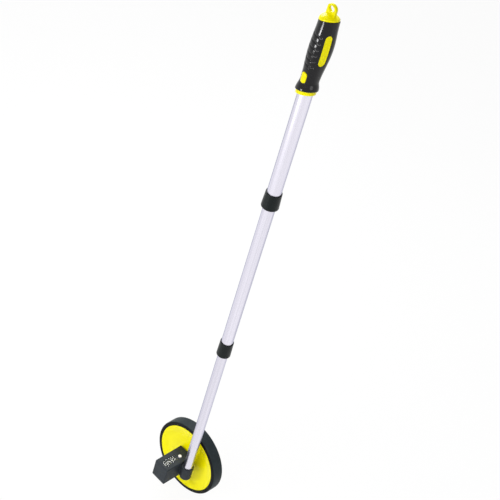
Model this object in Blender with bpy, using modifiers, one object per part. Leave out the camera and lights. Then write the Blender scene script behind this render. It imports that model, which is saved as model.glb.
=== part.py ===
"""Measuring wheel with a telescopic pole and a mechanical counter.

The pole stands along Z, the wheel's axle lies along Y, and the origin is the centre of the hang loop's
hole, on the pole's axis. Lengths are metres. The pole is at its full length.
"""

import math

import bmesh
import bpy
from mathutils import Matrix, Vector

# Clearances and shared sizes
GAP = 0.0003
OVERRUN = 0.002
WELD = 0.000001
EDGE = 0.0004

# Hang loop and end cap
LOOP_HOLE_HALF_WIDTH = 0.0058
LOOP_HOLE_HALF_HEIGHT = 0.0054
LOOP_BAND = 0.0044
LOOP_THICKNESS = 0.006
LOOP_RISE = 0.0095
LOOP_ROOT = 0.003
CAP_HEIGHT = 0.012
CAP_OVERHANG = 0.0003
CAP_RIM = 0.002
SPIGOT_LENGTH = 0.012
SPIGOT_WALL = 0.002

# Handle
HANDLE_TURN = math.radians(-6)
GRIP_LENGTH = 0.1325
GRIP_TOP_WALL = 0.0017
GRIP_BELLY_WALL = 0.0033
GRIP_WAIST_WALL = 0.0007
GRIP_FLARE_WALL = 0.0043
GRIP_BELLY_SHARE = 0.4
GRIP_WAIST_SHARE = 0.83
GRIP_EDGE = 0.001
CORE_WALL = 0.0011
RING_WALL = 0.0023
RING_HEIGHT = 0.007
INLAY_LENGTH = 0.0565
INLAY_WIDTH = 0.012
INLAY_PROUD = 0.0004
INLAY_ANGLE = math.radians(62)
PAD_LENGTH = 0.021
PAD_WIDTH = 0.0105
PAD_PROUD = 0.0022
PAD_SHARE = 0.8
RIB_COUNT = 4
RIB_PITCH = 0.0147
RIB_DEPTH = 0.0009
RIB_RADIUS = 0.003

# Telescopic pole
UPPER_TUBE_RADIUS = 0.0125
TUBE_WALL = 0.001
TUBE_PLAY = 0.0005
UPPER_TUBE_LENGTH = 0.3415
MIDDLE_TUBE_LENGTH = 0.4105
LOWER_TUBE_LENGTH = 0.4292
TUBE_LAP = 0.05
BUSH_HEIGHT = 0.0015
BUSH_PLUG_LENGTH = 0.008
BUSH_PLUG_WALL = 0.0015

# Twist-lock collars
UPPER_COLLAR_LENGTH = 0.031
UPPER_COLLAR_TOP_WALL = 0.0018
UPPER_COLLAR_BOTTOM_WALL = 0.0032
LOWER_COLLAR_LENGTH = 0.033
LOWER_COLLAR_TOP_WALL = 0.0016
LOWER_COLLAR_BOTTOM_WALL = 0.0023
COLLAR_LAP = 0.012
COLLAR_EDGE = 0.0008
COLLET_LENGTH = 0.013
COLLET_WALL = 0.0016
COLLET_TAPER = 0.0006
COLLET_SLOT = 0.001
COLLET_SLOTS = 4

# Wheel
WHEEL_OFFSET_Y = 0.0355
AXLE_RISE = 0.0102
TYRE_RADIUS = 0.0796
TYRE_WIDTH = 0.025
TYRE_EDGE = 0.0026
TYRE_DEPTH = 0.0074
DISC_SETBACK = 0.0003
DISC_WALL = 0.003
DISC_RIM_LIP = 0.0016
DISC_DISH = 0.0034
DISC_RING_RADIUS = 0.05
HUB_RADIUS = 0.0115
SPOKE_COUNT = 6
SPOKE_THICKNESS = 0.0025
SPOKE_HEIGHT = 0.012

# Axle and its fastening
AXLE_HUB_RADIUS = 0.004
AXLE_BOX_RADIUS = 0.003
AXLE_TIP_RADIUS = 0.0014
AXLE_SHOULDER_RADIUS = 0.006
AXLE_THREAD_LENGTH = 0.009
WASHER_RADIUS = 0.009
WASHER_THICKNESS = 0.0015
NUT_RADIUS = 0.0075
NUT_THICKNESS = 0.005
NUT_SIDES = 6
BUSH_WALL = 0.0018
BUSH_FLANGE_STEP = 0.0015
BUSH_FLANGE = 0.001

# Counter casing
BOX_LENGTH = 0.0675
BOX_WIDTH = 0.0348
BOX_HEIGHT = 0.0418
BOX_WALL = 0.002
BOX_EDGE = 0.0022
BOX_SHIFT_X = -0.0025
BOX_RISE = 0.0012
BOX_TO_TYRE = 0.0022
COVER_THICKNESS = 0.003
COVER_BOSS = 0.0025
POST_RADIUS = 0.0028
POST_LENGTH = 0.012
SCREW_RADIUS = 0.0011
SCREW_HEAD_RADIUS = 0.002
SCREW_HEAD = 0.0013
SCREW_LENGTH = 0.0095
SCREW_SLOT = 0.0006
CUP_WALL = 0.002
CUP_SINK = 0.0002
CUP_RIM_RISE = 0.018
CUP_FLOOR = 0.0028
CUP_EDGE = 0.0028
WEB_WIDTH = 0.018
PLUG_LENGTH = 0.012
TUBE_SCREW_RADIUS = 0.0016
TUBE_SCREW_HEAD_RADIUS = 0.003
TUBE_SCREW_HEAD = 0.0016
TUBE_SCREW_LENGTH = 0.011

# Counter works
WINDOW_WIDTH = 0.012
WINDOW_STEP = 0.001
LENS_THICKNESS = 0.0009
DRUM_COUNT = 5
DRUM_RADIUS = 0.0098
DRUM_SPACE = 0.0008
DRUM_SHIFT_X = -0.0015
DRUM_HEADROOM = 0.0013
DRUM_STEP = 0.00075
WORKS_END_SPACE = 0.0024
GEAR_WIDTH = 0.0014
DRUM_SHAFT_RADIUS = 0.0019
PINION_SHAFT_RADIUS = 0.0011
PINION_ANGLE = math.radians(225)
DRIVE_TEETH = 12
DRUM_DRIVE_TEETH = 24
RING_TEETH = 20
PINION_TEETH = 8
DRIVE_ADDENDUM = 0.0005
DRIVE_DEDENDUM = 0.0007
CARRY_ADDENDUM = 0.00065
CARRY_DEDENDUM = 0.00085
TOOTH_TIP_SHARE = 0.1
TOOTH_ROOT_SHARE = 0.24
FRAME_THICKNESS = 0.0012
SHAFT_END = 0.0012

# Reset button
BUTTON_RADIUS = 0.0035
BUTTON_PROUD = 0.002
BUTTON_EDGE = 0.0007
BUTTON_OFFSET_X = 0.0008
BUTTON_FROM_WHEEL = 0.0355
BUTTON_FLANGE_STEP = 0.0011
BUTTON_FLANGE = 0.001
BUTTON_STEM_RADIUS = 0.0015
BUTTON_STEM_REACH = 0.0021
SHELF_DROP = 0.0082
SHELF_WIDTH = 0.012
SPRING_PLAY = 0.0011
SPRING_WIRE = 0.0005
SPRING_TURNS = 4

# Fineness
WHEEL_STEPS = 48
FINE = 32
ROUND = 24
COARSE = 12
ARC_STEPS = 3
EDGE_SEGMENTS = 3
GRIP_STEPS = 12
ARCH_STEPS = 16
SPRING_POINTS = 10

# Radii that follow one another
MIDDLE_TUBE_RADIUS = UPPER_TUBE_RADIUS - TUBE_WALL - TUBE_PLAY
LOWER_TUBE_RADIUS = MIDDLE_TUBE_RADIUS - TUBE_WALL - TUBE_PLAY
CORE_BORE = UPPER_TUBE_RADIUS + GAP
CORE_RADIUS = CORE_BORE + CORE_WALL
RING_RADIUS = CORE_RADIUS + RING_WALL
GRIP_BORE = CORE_RADIUS + GAP
GRIP_TOP_RADIUS = GRIP_BORE + GRIP_TOP_WALL
GRIP_BELLY_RADIUS = GRIP_BORE + GRIP_BELLY_WALL
GRIP_WAIST_RADIUS = GRIP_BORE + GRIP_WAIST_WALL
GRIP_FLARE_RADIUS = GRIP_BORE + GRIP_FLARE_WALL
CAP_RADIUS = GRIP_TOP_RADIUS + CAP_OVERHANG
DISC_RADIUS = TYRE_RADIUS - TYRE_DEPTH
DISC_WIDTH = TYRE_WIDTH - 2 * DISC_SETBACK
CUP_RADIUS = LOWER_TUBE_RADIUS + GAP + CUP_WALL
BUSH_BORE = AXLE_BOX_RADIUS + GAP
BUSH_RADIUS = BUSH_BORE + BUSH_WALL
BUSH_FLANGE_RADIUS = BUSH_RADIUS + BUSH_FLANGE_STEP
BUTTON_FLANGE_RADIUS = BUTTON_RADIUS + BUTTON_FLANGE_STEP
SPRING_RADIUS = BUTTON_STEM_RADIUS + SPRING_PLAY
BUTTON_STEM_LENGTH = SHELF_DROP + FRAME_THICKNESS + BUTTON_STEM_REACH

# Places along the pole, from the loop down
CAP_BASE_Z = -LOOP_RISE - CAP_HEIGHT
GRIP_TOP_Z = CAP_BASE_Z - GAP
GRIP_BOTTOM_Z = GRIP_TOP_Z - GRIP_LENGTH
RING_TOP_Z = GRIP_BOTTOM_Z - GAP
RING_BOTTOM_Z = RING_TOP_Z - RING_HEIGHT
SPIGOT_BOTTOM_Z = CAP_BASE_Z - SPIGOT_LENGTH
UPPER_TOP_Z = SPIGOT_BOTTOM_Z - GAP
UPPER_BOTTOM_Z = UPPER_TOP_Z - UPPER_TUBE_LENGTH
MIDDLE_TOP_Z = UPPER_BOTTOM_Z + TUBE_LAP
MIDDLE_BOTTOM_Z = MIDDLE_TOP_Z - MIDDLE_TUBE_LENGTH
LOWER_TOP_Z = MIDDLE_BOTTOM_Z + TUBE_LAP
LOWER_BOTTOM_Z = LOWER_TOP_Z - LOWER_TUBE_LENGTH

# Places of the wheel and of the counter
BOX_X = CUP_SINK - CUP_RADIUS - BOX_WIDTH / 2
AXLE_X = BOX_X - BOX_SHIFT_X
AXLE_Z = LOWER_BOTTOM_Z + AXLE_RISE
TYRE_FRONT_Y = WHEEL_OFFSET_Y - TYRE_WIDTH / 2
DISC_FRONT_Y = WHEEL_OFFSET_Y - DISC_WIDTH / 2
DISC_BACK_Y = WHEEL_OFFSET_Y + DISC_WIDTH / 2
BOX_Z = AXLE_Z + BOX_RISE
BOX_END_Y = TYRE_FRONT_Y - BOX_TO_TYRE
BOX_FREE_Y = BOX_END_Y - BOX_LENGTH
BODY_END_Y = BOX_END_Y - COVER_THICKNESS - GAP
BOX_TOP_Z = BOX_Z + BOX_HEIGHT / 2
CEILING_Z = BOX_TOP_Z - BOX_WALL
INNER_WIDTH = BOX_WIDTH - 2 * BOX_WALL
INNER_HEIGHT = BOX_HEIGHT - 2 * BOX_WALL
BUTTON_X = AXLE_X + BUTTON_OFFSET_X
BUTTON_Y = WHEEL_OFFSET_Y - BUTTON_FROM_WHEEL
BUTTON_FLANGE_Z = CEILING_Z - GAP - BUTTON_FLANGE
SHELF_TOP_Z = BUTTON_FLANGE_Z - SHELF_DROP
SHELF_BOTTOM_Z = SHELF_TOP_Z - FRAME_THICKNESS
CUP_RIM_Z = AXLE_Z + CUP_RIM_RISE
CUP_BOTTOM_Z = LOWER_BOTTOM_Z - GAP - CUP_FLOOR

# Places of the counter works
DRUM_X = AXLE_X + DRUM_SHIFT_X
DRUM_Z = CEILING_Z - DRUM_HEADROOM - DRUM_RADIUS
DRUM_RISE = DRUM_Z - AXLE_Z
RIGHT_FRAME_Y = BUTTON_Y - BUTTON_FLANGE_RADIUS - GAP
SHAFT_START_Y = BOX_FREE_Y + BOX_WALL + WORKS_END_SPACE
LEFT_FRAME_Y = SHAFT_START_Y + SHAFT_END + FRAME_THICKNESS
DRUM_END_Y = RIGHT_FRAME_Y - FRAME_THICKNESS - DRUM_SPACE
DRUM_START_Y = LEFT_FRAME_Y + DRUM_SPACE
DRUM_PITCH = (DRUM_END_Y - DRUM_START_Y + DRUM_SPACE) / DRUM_COUNT
DRUM_RIM = DRUM_PITCH - GEAR_WIDTH - DRUM_SPACE
DRUM_RING_RADIUS = DRUM_RADIUS - DRUM_STEP - CARRY_ADDENDUM
MATE_WIDTH = GEAR_WIDTH - GAP
WINDOW_X = (BOX_X + DRUM_X) / 2
WINDOW_Y = (DRUM_START_Y + DRUM_END_Y) / 2
WINDOW_LENGTH = DRUM_COUNT * DRUM_PITCH
DRIVE_DISTANCE = math.hypot(DRUM_SHIFT_X, DRUM_RISE)
DRIVE_ANGLE = math.atan2(DRUM_RISE, DRUM_SHIFT_X)
DRIVE_PITCH_RADIUS = DRIVE_DISTANCE * DRIVE_TEETH / (DRIVE_TEETH + DRUM_DRIVE_TEETH)
DRUM_DRIVE_PITCH_RADIUS = DRIVE_DISTANCE - DRIVE_PITCH_RADIUS
PINION_PITCH_RADIUS = DRUM_RING_RADIUS * PINION_TEETH / RING_TEETH
PINION_DISTANCE = DRUM_RING_RADIUS + PINION_PITCH_RADIUS
PINION_X = DRUM_X + PINION_DISTANCE * math.cos(PINION_ANGLE)
PINION_Z = DRUM_Z + PINION_DISTANCE * math.sin(PINION_ANGLE)
SHAFTS = (
    ("drum_shaft", DRUM_SHAFT_RADIUS, DRUM_X, DRUM_Z),
    ("pinion_shaft", PINION_SHAFT_RADIUS, PINION_X, PINION_Z),
)

QUARTER = math.pi / 2
SHARP_FROM = QUARTER / 3
ALONG_Y = (-QUARTER, 0, 0)

YELLOW = (0.86, 0.80, 0.01, 1)
RUBBER = (0.018, 0.02, 0.022, 1)
TREAD = (0.022, 0.025, 0.028, 1)
BLACK_PLASTIC = (0.012, 0.016, 0.017, 1)
CHARCOAL = (0.05, 0.052, 0.055, 1)
SILVER = (0.78, 0.78, 0.82, 1)
STEEL = (0.55, 0.55, 0.56, 1)
BRASS = (0.62, 0.45, 0.16, 1)
WHITE_PLASTIC = (0.75, 0.75, 0.75, 1)
CLEAR = (0.8, 0.85, 0.85, 1)


def clear_scene():
    for thing in list(bpy.data.objects):
        bpy.data.objects.remove(thing)


def new_collection(name):
    made = bpy.data.collections.new(name)
    bpy.context.scene.collection.children.link(made)
    return made


clear_scene()
PARTS = new_collection("measuring_wheel")
CUTTERS = new_collection("cutters")


def material(name, colour, roughness, metallic=0.0):
    made = bpy.data.materials.new(name)
    made.use_nodes = True
    shader = made.node_tree.nodes["Principled BSDF"]
    shader.inputs["Base Color"].default_value = colour
    shader.inputs["Roughness"].default_value = roughness
    shader.inputs["Metallic"].default_value = metallic
    made.diffuse_color = colour
    return made


YELLOW_PLASTIC = material("yellow_plastic", YELLOW, 0.25)
GRIP_RUBBER = material("grip_rubber", RUBBER, 0.4)
TYRE_RUBBER = material("tyre_rubber", TREAD, 0.5)
COLLAR_PLASTIC = material("collar_plastic", BLACK_PLASTIC, 0.35)
CASING_PLASTIC = material("casing_plastic", CHARCOAL, 0.5)
TUBE_METAL = material("tube_aluminium", SILVER, 0.3, 1.0)
BRIGHT_STEEL = material("bright_steel", STEEL, 0.35, 1.0)
GEAR_BRASS = material("gear_brass", BRASS, 0.4, 1.0)
WORKS_PLASTIC = material("works_plastic", WHITE_PLASTIC, 0.45)
DRUM_PLASTIC = material("drum_plastic", BLACK_PLASTIC, 0.5)
LENS_PLASTIC = material("lens_plastic", CLEAR, 0.05)


def place(name, mesh, finish, at=(0, 0, 0), turn=(0, 0, 0)):
    """Links a mesh as a named piece; a piece with no finish is a cutter or another helper."""
    piece = bpy.data.objects.new(name, mesh)
    piece.location = at
    piece.rotation_euler = turn
    if finish is None:
        CUTTERS.objects.link(piece)
        piece.hide_render = True
        piece.display_type = "WIRE"
    else:
        PARTS.objects.link(piece)
        mesh.materials.append(finish)
    return piece


def joined(piece, helper, operation):
    step = piece.modifiers.new(helper.name, "BOOLEAN")
    step.object = helper
    step.operation = operation
    step.solver = "EXACT"
    return piece


def cut(piece, *helpers):
    for helper in helpers:
        joined(piece, helper, "DIFFERENCE")
    return piece


def fuse(piece, *helpers):
    for helper in helpers:
        joined(piece, helper, "UNION")
    return piece


def turned(name, profile, finish, at=(0, 0, 0), turn=(0, 0, 0), steps=ROUND):
    """A profile of (radius, height) points spun about its own Z, from high on its outer side down.

    A profile whose two ends lie on the axis makes a solid, and any other is closed to make a ring.
    """
    mesh = bpy.data.meshes.new(name)
    count = len(profile)
    closed = profile[0][0] > 0 or profile[-1][0] > 0
    edges = [(i, (i + 1) % count) for i in range(count if closed else count - 1)]
    mesh.from_pydata([(radius, 0, height) for radius, height in profile], edges, [])
    piece = place(name, mesh, finish, at, turn)
    spin = piece.modifiers.new("spin", "SCREW")
    spin.steps = steps
    spin.render_steps = steps
    spin.use_merge_vertices = True
    spin.merge_threshold = WELD
    spin.use_smooth_shade = True
    return piece


def finished(made, mesh):
    """Writes the built shape to its mesh, smooth but for its sharp edges."""
    made.to_mesh(mesh)
    made.free()
    mesh.shade_smooth()
    mesh.set_sharp_from_angle(angle=SHARP_FROM)


def rod(name, radius, low, high, finish, at=(0, 0, 0), turn=(0, 0, 0), steps=COARSE):
    """A round bar along its own Z."""
    mesh = bpy.data.meshes.new(name)
    made = bmesh.new()
    depth = high - low
    bmesh.ops.create_cone(made, cap_ends=True, segments=steps, radius1=radius, radius2=radius, depth=depth)
    bmesh.ops.translate(made, vec=(0, 0, (high + low) / 2), verts=made.verts)
    finished(made, mesh)
    return place(name, mesh, finish, at, turn)


def stepped_hole(name, steps, at, turn, count):
    """A cutter of several diameters, its steps given as (radius, height) from the top down."""
    profile = [(0, steps[0][1])] + steps + [(0, steps[-1][1])]
    return turned(name, profile, None, at, turn, count)


def ring(name, outer, inner, low, high, finish, at=(0, 0, 0), turn=(0, 0, 0), steps=ROUND):
    profile = [(outer, high), (outer, low), (inner, low), (inner, high)]
    return turned(name, profile, finish, at, turn, steps)


def block(name, size, finish, at, edge=0.0, segments=2):
    mesh = bpy.data.meshes.new(name)
    made = bmesh.new()
    bmesh.ops.create_cube(made, size=1)
    bmesh.ops.scale(made, vec=Vector(size), verts=made.verts)
    if edge:
        sizes = {"offset": edge, "segments": segments, "profile": 0.5}
        bmesh.ops.bevel(made, geom=list(made.edges), affect="EDGES", material=-1, **sizes)
    finished(made, mesh)
    return place(name, mesh, finish, at)


def plate(name, outlines, thickness, finish, at=(0, 0, 0), turn=(0, 0, 0), lift=0.0):
    """A flat shape of outer and inner outlines in its own XY plane, extruded to a thickness."""
    curve = bpy.data.curves.new(name, "CURVE")
    curve.dimensions = "2D"
    curve.fill_mode = "BOTH"
    curve.extrude = thickness / 2
    for outline in outlines:
        spline = curve.splines.new("POLY")
        spline.points.add(len(outline) - 1)
        spline.use_cyclic_u = True
        for point, (x, y) in zip(spline.points, outline):
            point.co = (x, y, 0, 1)
    holder = bpy.data.objects.new(name, curve)
    bpy.context.scene.collection.objects.link(holder)
    graph = bpy.context.evaluated_depsgraph_get()
    mesh = bpy.data.meshes.new_from_object(holder.evaluated_get(graph))
    bpy.data.objects.remove(holder)
    made = bmesh.new()
    made.from_mesh(mesh)
    bmesh.ops.remove_doubles(made, verts=made.verts, dist=WELD)
    bmesh.ops.translate(made, vec=(0, 0, lift), verts=made.verts)
    bmesh.ops.recalc_face_normals(made, faces=made.faces)
    finished(made, mesh)
    return place(name, mesh, finish, at, turn)


def circle(radius, steps, half_height=None):
    tall = radius if half_height is None else half_height
    angles = [2 * math.pi * i / steps for i in range(steps)]
    return [(radius * math.cos(angle), tall * math.sin(angle)) for angle in angles]


def capsule(length, width, steps):
    """A slot shape along Y, with round ends."""
    reach = (length - width) / 2
    outline = []
    for side in (1, -1):
        for i in range(steps + 1):
            angle = math.pi * i / steps
            outline.append((side * width / 2 * math.cos(angle), side * (reach + width / 2 * math.sin(angle))))
    return outline


def teeth_outline(teeth, pitch_radius, addendum, dedendum, first):
    """The outline of a gear whose first tooth points at the angle given."""
    outline = []
    corners = (
        (pitch_radius - dedendum, -TOOTH_ROOT_SHARE),
        (pitch_radius + addendum, -TOOTH_TIP_SHARE),
        (pitch_radius + addendum, TOOTH_TIP_SHARE),
        (pitch_radius - dedendum, TOOTH_ROOT_SHARE),
    )
    for i in range(teeth):
        for radius, share in corners:
            angle = first + 2 * math.pi * (i + share) / teeth
            outline.append((radius * math.cos(angle), radius * math.sin(angle)))
    return outline


def eased(start, end, share):
    """Goes from start to end with a level run at both ends."""
    return start + (end - start) * (1 - math.cos(math.pi * share)) / 2


def rounded(centre_r, centre_z, radius, start, end, steps=ARC_STEPS):
    """Points of an arc in a profile, from one angle to another, in quarter turns."""
    points = []
    for i in range(steps + 1):
        angle = QUARTER * (start + (end - start) * i / steps)
        points.append((centre_r + radius * math.cos(angle), centre_z + radius * math.sin(angle)))
    return points


def grip_radius(share):
    """The grip's outer radius, from its top at 0 to its flared bottom at 1."""
    if share <= GRIP_BELLY_SHARE:
        return eased(GRIP_TOP_RADIUS, GRIP_BELLY_RADIUS, share / GRIP_BELLY_SHARE)
    if share <= GRIP_WAIST_SHARE:
        run = (share - GRIP_BELLY_SHARE) / (GRIP_WAIST_SHARE - GRIP_BELLY_SHARE)
        return eased(GRIP_BELLY_RADIUS, GRIP_WAIST_RADIUS, run)
    return eased(GRIP_WAIST_RADIUS, GRIP_FLARE_RADIUS, (share - GRIP_WAIST_SHARE) / (1 - GRIP_WAIST_SHARE))


def grip_outline(proud):
    """The grip's outer profile, top to bottom, grown by a given height."""
    points = []
    for i in range(GRIP_STEPS + 1):
        share = i / GRIP_STEPS
        points.append((grip_radius(share) + proud, GRIP_TOP_Z - GRIP_LENGTH * share))
    return points


def around_handle(angle, radius):
    """The place and turn of a shape on the handle, with its Z outwards and its Y along the pole."""
    facing = angle + HANDLE_TURN
    at = Vector((radius * math.cos(facing), radius * math.sin(facing), 0))
    return at, (QUARTER, 0, facing + QUARTER)


def radial_capsule(name, angle, share, length, width, start, end):
    """A slot-shaped block that stands out of the handle between two radii."""
    at, turn = around_handle(angle, (start + end) / 2)
    at.z = GRIP_TOP_Z - GRIP_LENGTH * share
    return plate(name, [capsule(length, width, 2 * ARC_STEPS)], end - start, None, at, turn)


PAD_FACING = -QUARTER
INLAY_FACINGS = (PAD_FACING + INLAY_ANGLE, PAD_FACING - INLAY_ANGLE)


def loop_arch():
    """The loop's outer shape: an arch whose straight legs run down into the dome."""
    half_width = LOOP_HOLE_HALF_WIDTH + LOOP_BAND
    height = LOOP_HOLE_HALF_HEIGHT + LOOP_BAND
    outline = []
    for i in range(ARCH_STEPS + 1):
        angle = math.pi * i / ARCH_STEPS
        outline.append((half_width * math.cos(angle), height * math.sin(angle)))
    foot = -LOOP_RISE - LOOP_ROOT
    return outline + [(-half_width, foot), (half_width, foot)]


def end_cap():
    """The dome over the handle's end, with its hang loop and a spigot down into the handle."""
    dome = [(0, CAP_BASE_Z + CAP_HEIGHT)]
    for i in range(1, 2 * ARC_STEPS + 1):
        angle = QUARTER * i / (2 * ARC_STEPS)
        rise = CAP_RIM + (CAP_HEIGHT - CAP_RIM) * math.cos(angle)
        dome.append((CAP_RADIUS * math.sin(angle), CAP_BASE_Z + rise))
    spigot = CORE_BORE - GAP
    dome += [(CAP_RADIUS, CAP_BASE_Z), (spigot, CAP_BASE_Z), (spigot, SPIGOT_BOTTOM_Z)]
    dome += [(spigot - SPIGOT_WALL, SPIGOT_BOTTOM_Z), (spigot - SPIGOT_WALL, CAP_BASE_Z), (0, CAP_BASE_Z)]
    cap = turned("end_cap", dome, YELLOW_PLASTIC, steps=FINE)
    hole = circle(LOOP_HOLE_HALF_WIDTH, ROUND, LOOP_HOLE_HALF_HEIGHT)
    turn = (QUARTER, 0, HANDLE_TURN)
    loop = plate("loop_form", [loop_arch()], LOOP_THICKNESS, None, turn=turn)
    bore = plate("loop_hole", [hole], LOOP_THICKNESS + OVERRUN, None, turn=turn)
    return cut(fuse(cap, loop), bore)


def inlay_forms(name, share, length, width, proud, angle):
    """A raised yellow island of the core: a slot-shaped block with the grip's own curve on its face."""
    reach = (CORE_BORE + CORE_WALL / 2, GRIP_FLARE_RADIUS + OVERRUN)
    form = radial_capsule(name, angle, share, length, width, *reach)
    skin = grip_outline(proud) + [(0, GRIP_BOTTOM_Z), (0, GRIP_TOP_Z)]
    skin = [skin[-1]] + skin[:-1]
    joined(form, turned(name + "_skin", skin, None, steps=FINE), "INTERSECT")
    return form


def handle_core():
    """The yellow inner handle: a thin tube with its bottom ring, two side islands and the thumb pad."""
    profile = [(CORE_RADIUS, CAP_BASE_Z - GAP), (CORE_RADIUS, RING_TOP_Z), (RING_RADIUS - EDGE, RING_TOP_Z)]
    profile += [(RING_RADIUS, RING_TOP_Z - EDGE), (RING_RADIUS, RING_BOTTOM_Z + EDGE)]
    profile += [(RING_RADIUS - EDGE, RING_BOTTOM_Z)]
    profile += [(CORE_BORE, RING_BOTTOM_Z), (CORE_BORE, CAP_BASE_Z - GAP)]
    core = turned("handle_core", profile, YELLOW_PLASTIC, steps=FINE)
    for i, facing in enumerate(INLAY_FACINGS):
        name = f"side_island_{i + 1}"
        fuse(core, inlay_forms(name, GRIP_BELLY_SHARE, INLAY_LENGTH, INLAY_WIDTH, INLAY_PROUD, facing))
    return fuse(core, inlay_forms("thumb_pad", PAD_SHARE, PAD_LENGTH, PAD_WIDTH, PAD_PROUD, PAD_FACING))


def grip_sleeve():
    """The soft black sleeve over the core, open where the core's islands and thumb pad come through."""
    profile = grip_outline(0)
    profile[-1] = (GRIP_FLARE_RADIUS, GRIP_BOTTOM_Z + GRIP_EDGE)
    profile += [(GRIP_FLARE_RADIUS - GRIP_EDGE, GRIP_BOTTOM_Z)]
    profile += [(GRIP_BORE, GRIP_BOTTOM_Z), (GRIP_BORE, GRIP_TOP_Z)]
    grip = turned("grip_sleeve", profile, GRIP_RUBBER, steps=FINE)
    low = CORE_BORE
    high = GRIP_FLARE_RADIUS + 2 * OVERRUN
    for i, facing in enumerate(INLAY_FACINGS):
        size = (INLAY_LENGTH + 2 * GAP, INLAY_WIDTH + 2 * GAP)
        cut(grip, radial_capsule(f"side_window_{i + 1}", facing, GRIP_BELLY_SHARE, *size, low, high))
    size = (PAD_LENGTH + 2 * GAP, PAD_WIDTH + 2 * GAP)
    cut(grip, radial_capsule("pad_window", PAD_FACING, PAD_SHARE, *size, low, high))
    for i in range(RIB_COUNT):
        lift = RIB_PITCH * (i - (RIB_COUNT - 1) / 2)
        cut(grip, finger_groove(f"finger_groove_{i + 1}", lift))
    return grip


def finger_groove(name, lift):
    """A bar across the grip's thumb side that cuts one shallow finger groove."""
    share = GRIP_BELLY_SHARE - lift / GRIP_LENGTH
    depth = grip_radius(share) - RIB_DEPTH + RIB_RADIUS
    at, _ = around_handle(PAD_FACING, depth)
    at.z = GRIP_TOP_Z - GRIP_LENGTH * share
    half = GRIP_BELLY_RADIUS
    return rod(name, RIB_RADIUS, -half, half, None, at, (0, QUARTER, HANDLE_TURN), COARSE)


def tube(name, radius, top, bottom):
    return ring(name, radius, radius - TUBE_WALL, bottom, top, TUBE_METAL, steps=FINE)


def collar(name, tube_radius, inner_tube_radius, length, top_wall, bottom_wall, tube_bottom):
    """A twist-lock nut: close on the outer tube, wide round the collet, and closing on the inner tube."""
    top = tube_bottom + COLLAR_LAP
    bottom = top - length
    top_radius = tube_radius + top_wall
    bottom_radius = tube_radius + bottom_wall
    chamber = collet_radius(tube_radius) + GAP
    throat = inner_tube_radius + 2 * GAP
    collet_end = tube_bottom - GAP - COLLET_LENGTH - GAP
    profile = [(top_radius - EDGE, top), (top_radius, top - EDGE)]
    profile += [(bottom_radius, bottom + COLLAR_EDGE), (bottom_radius - COLLAR_EDGE, bottom)]
    profile += [(throat, bottom), (throat, collet_end), (chamber, collet_end), (chamber, tube_bottom + GAP)]
    profile += [(tube_radius + GAP, tube_bottom + GAP), (tube_radius + GAP, top)]
    return turned(name, profile, COLLAR_PLASTIC, steps=FINE)


def collet_radius(tube_radius):
    return tube_radius + COLLET_WALL / 2 - GAP


def collet(name, tube_radius, inner_tube_radius, tube_bottom):
    """The split ring that the collar squeezes on the inner tube."""
    inner = inner_tube_radius + GAP
    outer = collet_radius(tube_radius)
    top = tube_bottom - GAP
    bottom = top - COLLET_LENGTH
    profile = [(outer, top), (outer, (top + bottom) / 2), (outer - COLLET_TAPER, bottom), (inner, bottom)]
    made = turned(name, profile + [(inner, top)], WORKS_PLASTIC)
    slot_size = (2 * outer + OVERRUN, COLLET_SLOT, COLLET_LENGTH / 2 + OVERRUN)
    for i in range(COLLET_SLOTS // 2):
        slot = block(f"{name}_slot_{i + 1}", slot_size, None, (0, 0, bottom + COLLET_LENGTH / 4))
        slot.rotation_euler.z = math.pi * i / (COLLET_SLOTS // 2)
        cut(made, slot)
    return made


def guide_bush(name, tube_radius, outer_tube_radius, top):
    """A plug in the tube's top end whose flange guides it in the tube around it."""
    flange = outer_tube_radius - TUBE_WALL - GAP
    plug = tube_radius - TUBE_WALL - GAP
    low = top + GAP
    profile = [(flange, low + BUSH_HEIGHT), (flange, low), (plug, low), (plug, low - BUSH_PLUG_LENGTH)]
    profile += [(plug - BUSH_PLUG_WALL, low - BUSH_PLUG_LENGTH), (plug - BUSH_PLUG_WALL, low + BUSH_HEIGHT)]
    return turned(name, profile, WORKS_PLASTIC)


def pole():
    tube("upper_tube", UPPER_TUBE_RADIUS, UPPER_TOP_Z, UPPER_BOTTOM_Z)
    tube("middle_tube", MIDDLE_TUBE_RADIUS, MIDDLE_TOP_Z, MIDDLE_BOTTOM_Z)
    tube("lower_tube", LOWER_TUBE_RADIUS, LOWER_TOP_Z, LOWER_BOTTOM_Z)
    guide_bush("middle_guide_bush", MIDDLE_TUBE_RADIUS, UPPER_TUBE_RADIUS, MIDDLE_TOP_Z)
    guide_bush("lower_guide_bush", LOWER_TUBE_RADIUS, MIDDLE_TUBE_RADIUS, LOWER_TOP_Z)
    collet("upper_collet", UPPER_TUBE_RADIUS, MIDDLE_TUBE_RADIUS, UPPER_BOTTOM_Z)
    collet("lower_collet", MIDDLE_TUBE_RADIUS, LOWER_TUBE_RADIUS, MIDDLE_BOTTOM_Z)
    sizes = (UPPER_COLLAR_LENGTH, UPPER_COLLAR_TOP_WALL, UPPER_COLLAR_BOTTOM_WALL)
    collar("upper_collar", UPPER_TUBE_RADIUS, MIDDLE_TUBE_RADIUS, *sizes, UPPER_BOTTOM_Z)
    sizes = (LOWER_COLLAR_LENGTH, LOWER_COLLAR_TOP_WALL, LOWER_COLLAR_BOTTOM_WALL)
    collar("lower_collar", MIDDLE_TUBE_RADIUS, LOWER_TUBE_RADIUS, *sizes, MIDDLE_BOTTOM_Z)


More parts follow.
